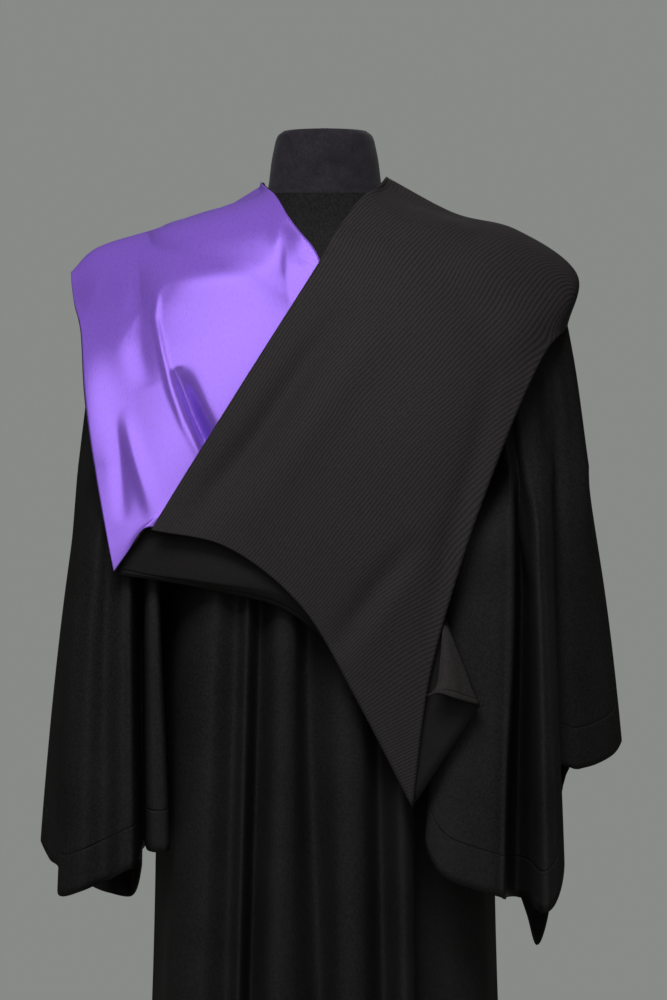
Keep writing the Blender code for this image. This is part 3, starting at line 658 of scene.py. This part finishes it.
def sleeve_face(side):
    """Outer face of a sleeve, in rings from the armhole to the hem. x grows away from the body."""
    table = np.array(SLEEVE_FOLDS[side], float)
    shares = table[:, 0]
    places = np.array(spread((*shares, 1.0), SLEEVE_STEPS)[:-1])
    head = np.array(SLEEVE_HEADS[side], float)
    relief = around(shares, table[:, 1:2] * MM, places)
    armhole = np.array([armhole_point(share) for share in places])
    lift = (1 + np.cos(2 * math.pi * places)) / 2
    rows = []
    for stage in np.linspace(0, 1, SLEEVE_HEAD_RINGS):
        ring = armhole.copy()
        shift = smooth(head[:, 0], head[:, 1:] * MM, stage)
        ring[:, 0] += shift[0] * lift + UNDERARM_OUT * stage * (1 - lift)
        ring[:, 2] += shift[1] * lift - UNDERARM_DROP * stage
        out = (ring - ring.mean(axis=0)) * (stage, 1, 1 - stage)
        out /= np.linalg.norm(out, axis=1)[:, None]
        rows.append(ring + out * relief * stage)
    arm = around(places, rows[-1], shares)
    mid, low, hem_z = table[:, 2:4] * MM, table[:, 4:6] * MM, table[:, 6] * MM
    end = low + (low - mid) * SLEEVE_SPREAD
    head_share = (1 + np.cos(2 * math.pi * shares)) / 2
    for drop in np.linspace(0, 1, SLEEVE_ARM_RINGS)[1:]:
        stations = []
        for k in range(len(shares)):
            z = arm[k, 2] + (hem_z[k] - arm[k, 2]) * drop
            drawn_in = GATHER_INSIDE + GATHER_ADDED * head_share[k] ** 2
            gathered = mid[k] + (arm[k, :2] - mid[k]) * drawn_in
            gather_z = SLEEVE_MID_Z + (arm[k, 2] - SLEEVE_MID_Z) * GATHER_SHARE
            heights = (SLEEVE_END_Z, SLEEVE_LOW_Z, SLEEVE_MID_Z, gather_z, arm[k, 2])
            stations.append((*smooth(heights, (end[k], low[k], mid[k], gathered, arm[k, :2]), z), z))
        rows.append(around(shares, stations, places))
    return np.array(rows)


def panel_face(table, columns, rows):
    """A hood panel's face: rows are smoothed across the cloth and then along it."""
    across = np.linspace(0, 1, columns + 1)
    along = np.linspace(0, len(table) - 1, rows + 1)
    stations = np.array([smooth(ACROSS, np.array(row[1:]) * MM, across) for row in table])
    flat = smooth(range(len(table)), stations.reshape(len(table), -1), along)
    return flat.reshape(rows + 1, columns + 1, 3)


def ways_out(face, closed=False):
    """Unit normals of a grid of points, turned as the columns and then the rows run."""
    if closed:
        wrapped = np.concatenate([face[:, -1:], face, face[:, :1]], axis=1)
        across = np.gradient(wrapped, axis=1)[:, 1:-1]
    else:
        across = np.gradient(face, axis=1)
    out = np.cross(np.gradient(face, axis=0), across)
    return out / np.maximum(np.linalg.norm(out, axis=2), 1e-12)[:, :, None]


def pressed(face, out, folds):
    """The face of the back with soft ridges and troughs in it, each fading at the ends of its path."""
    face = face.copy()
    behind = np.clip(-face[..., 1] / RELIEF_DEPTH, 0, 1)
    for _name, height, width, path in folds:
        path = np.array(path, float) * MM
        ways = np.diff(path, axis=0)
        lengths = np.linalg.norm(ways, axis=1)
        widths = np.broadcast_to(width, 2) * MM
        nearest = np.full(face.shape[:2], np.inf)
        share = np.zeros(face.shape[:2])
        spread_out = np.ones(face.shape[:2])
        for start, way, length, before in zip(path, ways, lengths, np.cumsum(lengths) - lengths):
            off_x, off_z = face[..., 0] - start[0], face[..., 2] - start[1]
            t = np.clip((off_x * way[0] + off_z * way[1]) / length**2, 0, 1)
            gap = np.hypot(off_x - t * way[0], off_z - t * way[1])
            turn = way[0] * off_z - way[1] * off_x
            share = np.where(gap < nearest, (before + t * length) / lengths.sum(), share)
            spread_out = np.where(gap < nearest, np.where(turn < 0, *widths), spread_out)
            nearest = np.minimum(nearest, gap)
        fade = np.sin(math.pi * share) ** RELIEF_FADE
        face += out * (height * MM * np.exp(-((nearest / spread_out) ** 2)) * fade * behind)[..., None]
    return face


def eased(face):
    """The same face with its rows smoothed along the cloth."""
    face = face.copy()
    for _ in range(EASING_PASSES):
        face[1:-1] = (face[:-2] + 2 * face[1:-1] + face[2:]) / 4
    return face


def lay_flat(face, closed=False):
    """Where each point lies on the cloth, in metres: how far across it, and how far up from its last row."""
    rows, columns = face.shape[:2]
    ring = np.concatenate([face, face[:, :1]], axis=1) if closed else face
    across = np.linalg.norm(np.diff(ring, axis=1), axis=2)
    across = np.concatenate([np.zeros((rows, 1)), np.cumsum(across, axis=1)], axis=1)
    up = np.linalg.norm(np.diff(ring[::-1], axis=0), axis=2)
    up = np.concatenate([np.zeros((1, ring.shape[1])), np.cumsum(up, axis=0)], axis=0)[::-1]
    return np.stack([across, up], axis=-1)


def dress(piece, node):
    """Lets a piece ride on the part and stand for its solid."""
    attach(piece, "root")
    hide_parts(node)
    return piece


def finished(name, bm, finish):
    """A smooth-shaded object from a bmesh whose faces point out."""
    mesh = bpy.data.meshes.new(name)
    bm.to_mesh(mesh)
    bm.free()
    mesh.materials.append(finish)
    mesh.shade_smooth()
    piece = bpy.data.objects.new(name, mesh)
    bpy.context.scene.collection.objects.link(piece)
    return piece


def cloth(name, face, out, thickness, finish, closed=False, flat=None):
    """A sheet of cloth: a grid moved onto its outer face and given its thickness on the inner side."""
    rows, columns = face.shape[:2]
    spans = columns if closed else columns - 1
    flat = lay_flat(face, closed) if flat is None else flat
    bm = bmesh.new()
    bmesh.ops.create_grid(bm, x_segments=spans, y_segments=rows - 1, size=0.5)
    lay = bm.loops.layers.uv.new("cloth")
    where = {v: (round((v.co.y + 0.5) * (rows - 1)), round((v.co.x + 0.5) * spans)) for v in bm.verts}
    for loop in (loop for f in bm.faces for loop in f.loops):
        loop[lay].uv = flat[where[loop.vert]]
    for v, (row, column) in where.items():
        v.co = face[row, column % columns]
    bm.normal_update()
    if sum(v.normal.dot(Vector(out[row, column % columns])) for v, (row, column) in where.items()) < 0:
        bmesh.ops.reverse_faces(bm, faces=bm.faces)
    if closed:
        bmesh.ops.remove_doubles(bm, verts=bm.verts, dist=MERGE)
    piece = finished(name, bm, finish)
    wall = piece.modifiers.new("wall", "SOLIDIFY")
    wall.thickness = thickness
    wall.offset = -1.0
    return piece


def turned(name, profile, finish, steps=96):
    """A solid turned about the Z axis from its profile, from the axis at the bottom to the axis at the top.

    Each point of the profile is a radius and a height.
    """
    bm = bmesh.new()
    verts = [bm.verts.new((radius, 0.0, z)) for radius, z in profile]
    edges = [bm.edges.new(pair) for pair in zip(verts, verts[1:])]
    bmesh.ops.spin(
        bm, geom=verts + edges, cent=(0, 0, 0), axis=(0, 0, 1), angle=2 * math.pi, steps=steps, use_merge=True
    )
    bmesh.ops.remove_doubles(bm, verts=bm.verts, dist=MERGE)
    bmesh.ops.recalc_face_normals(bm, faces=bm.faces)
    piece = finished(name, bm, finish)
    piece.data.set_sharp_from_angle(angle=math.radians(40))
    return piece


def tint(code):
    """A colour from its sRGB hex code, as the linear values that a socket takes."""
    parts = [int(code[k : k + 2], 16) / 255 for k in (1, 3, 5)]
    return (*[c / 12.92 if c <= 0.04045 else ((c + 0.055) / 1.055) ** 2.4 for c in parts], 1.0)


def add(tree, kind, inputs=None, **settings):
    """Adds a node, sets its properties and sockets, and links the sockets that another node feeds.

    A Map Range's sockets go by number: 0 is its value, 1 and 2 are the range that the value comes from, and
    3 and 4 the range that it is given.
    """
    made = tree.nodes.new("ShaderNode" + kind)
    for name, value in settings.items():
        setattr(made, name, value)
    for name, value in (inputs or {}).items():
        if isinstance(value, bpy.types.NodeSocket):
            tree.links.new(value, made.inputs[name])
        else:
            made.inputs[name].default_value = value
    return made


def blank(name):
    """A new material: its tree, emptied but for the shader, and its shader."""
    made = bpy.data.materials.new(name)
    made.use_nodes = True
    return made, made.node_tree, made.node_tree.nodes["Principled BSDF"]


def stitched(tree, from_hem):
    """The furrow that a line of stitches draws, from_hem metres up the cloth: 1 along its middle, 0 off it."""
    flat = add(tree, "UVMap", uv_map="cloth").outputs["UV"]
    split = add(tree, "SeparateXYZ", {0: flat})
    off = add(tree, "Math", {0: split.outputs[1], 1: from_hem}, operation="SUBTRACT")
    near = add(tree, "Math", {0: off.outputs[0]}, operation="ABSOLUTE")
    ends = {0: near.outputs[0], 1: 0.0, 2: STITCH_FURROW, 3: 1.0, 4: 0.0}
    return add(tree, "MapRange", ends, interpolation_type="SMOOTHSTEP").outputs[0]


def crepe(name, hexes, hem=None):
    """Polyester crepe, woven of hard-twisted yarn: matte, pebbled and slow to catch light.

    Its hem is stitched `hem` metres above the edge.
    """
    made, tree, shader = blank(name)
    place = add(tree, "TexCoord").outputs["Object"]
    # The pebbles of real crepe are 0.3 mm; they are drawn at 1.2 mm, so that they show
    pebble = add(tree, "TexNoise", {"Vector": place, "Scale": 1 / (2.4 * MM), "Detail": 1.0, "Roughness": 0.5})
    wear = add(tree, "TexNoise", {"Vector": place, "Scale": 9.0, "Detail": 3.0})
    shade = add(tree, "MapRange", {0: wear.outputs[0], 1: 0.3, 2: 0.7, 3: 0.0, 4: 0.5})
    grain = add(tree, "MapRange", {0: pebble.outputs[0], 1: 0.35, 2: 0.65, 3: 0.0, 4: 0.6})
    mixed = add(tree, "Math", {0: shade.outputs[0], 1: grain.outputs[0]}, operation="ADD", use_clamp=True)
    colour = add(tree, "ValToRGB", {"Fac": mixed.outputs[0]})
    colour.color_ramp.elements[0].color = tint(hexes[0])
    colour.color_ramp.elements[1].color = tint(hexes[1])
    bump = add(tree, "Bump", {"Height": pebble.outputs[0], "Strength": 0.35, "Distance": 0.4 * MM})
    if hem:
        sunk = {"Height": stitched(tree, hem), "Strength": 0.8, "Distance": 1.2 * MM, "Normal": bump.outputs[0]}
        bump = add(tree, "Bump", sunk, invert=True)
    tree.links.new(colour.outputs[0], shader.inputs["Base Color"])
    tree.links.new(bump.outputs[0], shader.inputs["Normal"])
    shader.inputs["Roughness"].default_value = 0.75
    shader.inputs["Specular IOR Level"].default_value = 0.14
    return made


def ribbed(name, hexes, rib):
    """Corded poplin, woven with heavy weft cords on the hood's bias: a fine diagonal rib with a dull shine."""
    made, tree, shader = blank(name)
    place = add(tree, "TexCoord").outputs["Object"]
    flat = add(tree, "UVMap", uv_map="cloth").outputs["UV"]
    split = add(tree, "SeparateXYZ", {0: flat})
    waver = add(tree, "TexNoise", {"Vector": place, "Scale": 5.0, "Detail": 2.0})
    # The cords are about 1.3 mm apart; they are drawn 3.9 mm apart, as the photograph shows them
    turns = add(tree, "Math", {0: split.outputs[0], 1: 2 * math.pi / rib}, operation="MULTIPLY")
    drift = add(tree, "Math", {0: waver.outputs[0], 1: 60.0, 2: turns.outputs[0]}, operation="MULTIPLY_ADD")
    wave = add(tree, "Math", {0: drift.outputs[0]}, operation="SINE")
    cord = add(tree, "MapRange", {0: wave.outputs[0], 1: -1.0, 2: 1.0, 3: 0.0, 4: 1.0})
    # The threads between them are 0.2 mm; they are drawn at 1.1 mm
    thread = add(tree, "TexNoise", {"Vector": place, "Scale": 1 / (2.2 * MM), "Detail": 2.0, "Roughness": 0.65})
    mixed = add(tree, "Math", {0: thread.outputs[0], 1: 1.3, 2: cord.outputs[0]}, operation="MULTIPLY_ADD")
    shade = add(tree, "MapRange", {0: mixed.outputs[0], 1: 0.35, 2: 1.95, 3: 0.0, 4: 1.0})
    colour = add(tree, "ValToRGB", {"Fac": shade.outputs[0]})
    colour.color_ramp.elements[0].color = tint(hexes[0])
    colour.color_ramp.elements[1].color = tint(hexes[1])
    bump = add(tree, "Bump", {"Height": mixed.outputs[0], "Strength": 0.24, "Distance": 0.4 * MM})
    tree.links.new(colour.outputs[0], shader.inputs["Base Color"])
    tree.links.new(bump.outputs[0], shader.inputs["Normal"])
    shader.inputs["Roughness"].default_value = 0.7
    shader.inputs["Specular IOR Level"].default_value = 0.16
    return made


def satin(name):
    """Polyester satin, woven with long floats and calendered: a deep purple with broad, milky lights."""
    made, tree, shader = blank(name)
    flat = add(tree, "UVMap", uv_map="cloth").outputs["UV"]
    # Floats are 0.1 mm apart and 2 mm long; they are drawn 1.1 mm apart and 6 mm long, so that the brushed
    # look shows
    bias = {"Vector": flat, "Rotation": (0.0, 0.0, 0.7), "Scale": (900.0, 160.0, 1.0)}
    brushed = add(tree, "Mapping", bias).outputs[0]
    floats = add(tree, "TexNoise", {"Vector": brushed, "Scale": 1.0, "Detail": 2.0, "Roughness": 0.55})
    shade = add(tree, "MapRange", {0: floats.outputs[0], 1: 0.3, 2: 0.7, 3: 0.0, 4: 1.0})
    colour = add(tree, "ValToRGB", {"Fac": shade.outputs[0]})
    colour.color_ramp.elements[0].color = tint("#845ccb")
    colour.color_ramp.elements[1].color = tint("#8e66d8")
    rough = add(tree, "MapRange", {0: floats.outputs[0], 1: 0.3, 2: 0.7, 3: 0.27, 4: 0.32})
    bump = add(tree, "Bump", {"Height": floats.outputs[0], "Strength": 0.03, "Distance": 0.3 * MM})
    tree.links.new(colour.outputs[0], shader.inputs["Base Color"])
    tree.links.new(rough.outputs[0], shader.inputs["Roughness"])
    tree.links.new(bump.outputs[0], shader.inputs["Normal"])
    shader.inputs["Metallic"].default_value = 0.4
    shader.inputs["Specular IOR Level"].default_value = 0.5
    shader.inputs["Sheen Weight"].default_value = 0.05
    shader.inputs["Sheen Tint"].default_value = tint("#c9a9ff")
    return made


def jersey(name):
    """Cotton jersey, knitted and stretched over the padded form: dull, with fine loops and a trace of lint."""
    made, tree, shader = blank(name)
    place = add(tree, "TexCoord").outputs["Object"]
    # Loops are 0.7 mm apart; they are drawn 1 mm apart, so that they show
    loops = add(tree, "TexNoise", {"Vector": place, "Scale": 1 / (2 * MM), "Detail": 3.0, "Roughness": 0.7})
    lint = add(tree, "TexNoise", {"Vector": place, "Scale": 60.0, "Detail": 4.0, "Roughness": 0.7})
    mixed = add(tree, "Math", {0: lint.outputs[0], 1: loops.outputs[0]}, operation="MULTIPLY")
    shade = add(tree, "MapRange", {0: mixed.outputs[0], 1: 0.12, 2: 0.42, 3: 0.0, 4: 1.0})
    colour = add(tree, "ValToRGB", {"Fac": shade.outputs[0]})
    colour.color_ramp.elements[0].color = tint("#19171b")
    colour.color_ramp.elements[1].color = tint("#2b282e")
    bump = add(tree, "Bump", {"Height": loops.outputs[0], "Strength": 0.5, "Distance": 0.5 * MM})
    tree.links.new(colour.outputs[0], shader.inputs["Base Color"])
    tree.links.new(bump.outputs[0], shader.inputs["Normal"])
    shader.inputs["Roughness"].default_value = 0.9
    shader.inputs["Specular IOR Level"].default_value = 0.2
    shader.inputs["Sheen Weight"].default_value = 0.05
    return made


def painted_steel(name):
    """Mild steel, powder coated and baked: a satin black with a slight orange peel."""
    made, tree, shader = blank(name)
    place = add(tree, "TexCoord").outputs["Object"]
    # Orange peel waves are about 1 mm; they are drawn at 2 mm
    peel = add(tree, "TexNoise", {"Vector": place, "Scale": 1 / (4 * MM), "Detail": 2.0})
    scuff = add(tree, "TexNoise", {"Vector": place, "Scale": 14.0, "Detail": 5.0, "Roughness": 0.65})
    colour = add(tree, "ValToRGB", {"Fac": scuff.outputs[0]})
    colour.color_ramp.elements[0].color = tint("#1a1a1b")
    colour.color_ramp.elements[1].color = tint("#262628")
    rough = add(tree, "MapRange", {0: scuff.outputs[0], 1: 0.3, 2: 0.7, 3: 0.32, 4: 0.5})
    bump = add(tree, "Bump", {"Height": peel.outputs[0], "Strength": 0.12, "Distance": 0.6 * MM})
    tree.links.new(colour.outputs[0], shader.inputs["Base Color"])
    tree.links.new(rough.outputs[0], shader.inputs["Roughness"])
    tree.links.new(bump.outputs[0], shader.inputs["Normal"])
    return made


def form_cover(finish):
    """The form's jersey cover, with its seam up the middle of the back and of the front."""
    neck = levels(FORM_ROWS[-1][0] * MM, COVER_NECK_LOW_Z, COVER_NECK_STEP)
    body = levels(COVER_NECK_LOW_Z, FORM_ROWS[0][0] * MM, COVER_BODY_STEP)
    heights = np.unique(np.round((*neck, *body), 5))
    angles = np.linspace(0, 2 * math.pi, COVER_SPANS + 1)[:-1]
    face = form_point(angles[None, :], heights[:, None])
    out = body_normal(angles[None, :], heights[:, None])
    off_seam = np.abs(np.angle(np.exp(2j * angles))) / 2 * NECK_RADIUS
    seam = sum(np.exp(-((off_seam / (width * MM)) ** 2)) * up * MM for width, up in (SEAM_FURROW, SEAM_RISE))
    face = face + out * seam[None, :, None]
    bm = bmesh.new()
    bmesh.ops.create_grid(bm, x_segments=COVER_SPANS, y_segments=len(heights) - 1, size=0.5)
    lay = bm.loops.layers.uv.new("cloth")
    for loop in (loop for f in bm.faces for loop in f.loops):
        loop[lay].uv = (loop.vert.co.x, loop.vert.co.y)
    for v in bm.verts:
        row, column = round((v.co.y + 0.5) * (len(heights) - 1)), round((v.co.x + 0.5) * COVER_SPANS)
        v.co = face[row, column % COVER_SPANS]
    bmesh.ops.remove_doubles(bm, verts=bm.verts, dist=MERGE)
    bmesh.ops.holes_fill(bm, edges=[e for e in bm.edges if e.is_boundary], sides=0)
    bmesh.ops.recalc_face_normals(bm, faces=bm.faces)
    piece = finished("form_cover", bm, finish)
    piece.data.set_sharp_from_angle(angle=math.radians(50))
    dress(piece, "form_body")


def stand(finish):
    """The round foot with its collar, and the pole that carries the form."""
    _low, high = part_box("stand_foot")
    rim_r, rim_z = high.x - FOOT_RIM, FOOT_THICKNESS - FOOT_RIM
    profile = [(0.0, 0.0), (rim_r, 0.0), (high.x, FOOT_RIM)]
    profile += [(rim_r + FOOT_RIM * math.sin(a), rim_z + FOOT_RIM * math.cos(a)) for a in FOOT_RIM_ANGLES]
    profile += COLLAR_FILLET
    profile += [(radius, high.z + up) for radius, up in COLLAR_TOP]
    profile.append((0.0, high.z))
    dress(turned("stand_foot_plate", profile, finish), "stand_foot")
    low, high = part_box("stand_pole")
    pole = [(0.0, low.z), (high.x, low.z), (high.x, high.z), (0.0, high.z)]
    dress(turned("stand_pole_tube", pole, finish, 48), "stand_pole")


def gown(finish, hemmed):
    """Yoke, back, two fronts and two sleeves, each a sheet that hangs from the form's shoulders."""
    mirror = np.array((-1, 1, 1))
    face = yoke_face()
    yoke = dress(cloth("yoke", face, ways_out(face), GOWN_CLOTH, finish), "gown_yoke")
    face = back_face()
    back = dress(cloth("back_panel", face, ways_out(face), GOWN_CLOTH, hemmed), "gown_back")
    face = front_face()
    out = ways_out(face)
    for side, turn in (("right", 1), ("left", mirror)):
        node = f"gown_front_{side}"
        front = dress(cloth(f"front_{side}", face * turn, out * turn, GOWN_CLOTH, hemmed), node)
    for side, turn, area in (("left", mirror, 0.40), ("right", 1, 0.43)):
        face = sleeve_face(side)
        face = pressed(face, -ways_out(face, closed=True), SLEEVE_CREASES[side])
        out = -ways_out(face, closed=True)
        made = cloth(f"sleeve_{side}", face * turn, out * turn, GOWN_CLOTH, hemmed, closed=True)
        dress(made, f"gown_sleeve_{side}")


def hood(shell, lining, plain, turned_back_painted_lit):
    """The hood's right half, its lined left half turned out, the layer below them and its folded corner."""
    face = eased(laid_over(panel_face(RIGHT_PANEL_ROWS, *RIGHT_GRID), RIGHT_HOOD_OFF))
    out = ways_out(face)
    face = pressed(face, out, RIB_FOLDS)
    flat = lay_flat(face)
    across, up = flat[..., 0], flat[..., 1] - CORD_LEVEL
    slant = np.stack([across - up * (CORD_SLANT + CORD_SLANT_ACROSS * across), up], axis=-1)
    right = cloth("shell_right", face, out, HOOD_CLOTH, shell, flat=slant)
    dress(right, "hood_shell_right")

    face = eased(laid_over(panel_face(LEFT_PANEL_ROWS, *LEFT_GRID), LEFT_HOOD_OFF))
    out = -ways_out(face)
    face = pressed(face, out, SATIN_FOLDS)
    left = cloth("lining_left", face, out, LINING_CLOTH, lining)
    dress(left, "hood_lining_left")
    below = face - out * (LINING_CLOTH + LINING_GAP)
    # The shell's outer edge stands one step of the grid beyond its lining, so that a thin black edge shows
    below[:, -1] += below[:, -1] - below[:, -2]
    under = cloth("shell_left", below, out, LINING_CLOTH, shell)
    dress(under, "hood_shell_left")

    face = panel_face(UNDER_LAYER_ROWS, *UNDER_GRID)
    out = ways_out(face)
    layer = cloth("under_layer", pressed(face, out, UNDER_FOLDS), out, HOOD_CLOTH, plain)
    dress(layer, "hood_under_layer")
    face = panel_face(CORNER_ROWS, *CORNER_GRID)
    corner = cloth("folded_corner", face, ways_out(face), HOOD_CLOTH, turned_back_painted_lit)
    dress(corner, "hood_corner")


def light(name, place, aim, size, power, colour):
    """A soft box that looks at a point and isn't seen itself: its place, aim, width and height, power and colour."""
    lamp = bpy.data.lights.new(name, "AREA")
    lamp.shape = "RECTANGLE"
    lamp.size, lamp.size_y = size
    lamp.energy = power
    lamp.color = tint(colour)[:3]
    made = bpy.data.objects.new(name, lamp)
    made.location = place
    made.rotation_euler = (Vector(aim) - Vector(place)).to_track_quat("-Z", "Y").to_euler()
    made.visible_camera = False
    bpy.context.scene.collection.objects.link(made)
    return made


def studio():
    """Camera at the photograph's angle, a pale floor, and soft light from above and a little from the left."""
    scene = bpy.context.scene
    lens = bpy.data.cameras.new("camera")
    # 4470 pixels on a frame 1000 pixels high
    lens.lens = 160.92
    lens.sensor_width = 36.0
    lens.clip_end = 60.0
    eye = bpy.data.objects.new("camera", lens)
    eye.location = (0.0095, -5.0, 1.1355)
    eye.rotation_euler = (math.radians(90), 0, 0)
    scene.collection.objects.link(eye)
    scene.camera = eye
    bm = bmesh.new()
    bmesh.ops.create_circle(bm, cap_ends=True, segments=128, radius=4.5)
    made, tree, shader = blank("matte studio floor")
    place = add(tree, "TexCoord").outputs["Object"]
    grain = add(tree, "TexNoise", {"Vector": place, "Scale": 3.0, "Detail": 3.0})
    colour = add(tree, "ValToRGB", {"Fac": grain.outputs[0]})
    colour.color_ramp.elements[0].color = tint("#969893")
    colour.color_ramp.elements[1].color = tint("#a2a49f")
    tree.links.new(colour.outputs[0], shader.inputs["Base Color"])
    shader.inputs["Roughness"].default_value = 0.8
    floor = finished("floor", bm, made)
    world = bpy.data.worlds.new("studio")
    world.use_nodes = True
    tree = world.node_tree
    wall = tree.nodes["Background"]
    wall.inputs["Color"].default_value = tint("#c9cdc8")
    wall.inputs["Strength"].default_value = 0.42
    bounce = add(tree, "Background", {"Color": tint("#c9cdc8"), "Strength": 0.08})
    seen = add(tree, "LightPath").outputs["Is Camera Ray"]
    room = add(tree, "MixShader", {0: seen, 1: bounce.outputs[0], 2: wall.outputs[0]})
    tree.links.new(room.outputs[0], tree.nodes["World Output"].inputs["Surface"])
    scene.world = world
    scene.view_settings.view_transform = "Standard"
    # The room's light on the cloth is low, so the key gives the folds their shading, on matte cloth alone
    light("key", (-0.35, -1.9, 3.3), (0.0, 0.0, 1.1), (1.2, 1.2), 97, "#fdfdff").visible_glossy = False
    # A wide white screen that only shiny cloth shows
    light("screen", (-0.7, -5.6, 3.7), (0.0, 0.0, 1.15), (6.4, 5.2), 250, "#ffffff").visible_diffuse = False
    light("back", (0.9, 3.4, 2.8), (0.0, 0.0, 1.1), (2.4, 2.4), 130, "#ffffff").visible_glossy = False


studio()
gown_plain = crepe("black polyester crepe", ("#111010", "#201f1f"))
gown_hemmed = crepe("black polyester crepe with a stitched hem", ("#111010", "#201f1f"), GOWN_STITCH)
form_cover(jersey("black cotton jersey"))
stand(painted_steel("black powder-coated steel"))
gown(gown_plain, gown_hemmed)
hood_rib = ribbed("black corded poplin", ("#191718", "#2f2c2d"), RIB_PITCH)
hood_satin = satin("purple polyester satin")
hood_wrong_side = crepe("black poplin, wrong side", ("#131112", "#1a1819"), HOOD_STITCH)
# The folded corner is coloured lighter than the layer's wrong side. This is painted light, for the light it catches
# where it stands off the layer.
hood_corner = crepe("black poplin, corner painted lighter", ("#211f1f", "#2c2a29"), HOOD_STITCH)
hood(hood_rib, hood_satin, hood_wrong_side, hood_corner)
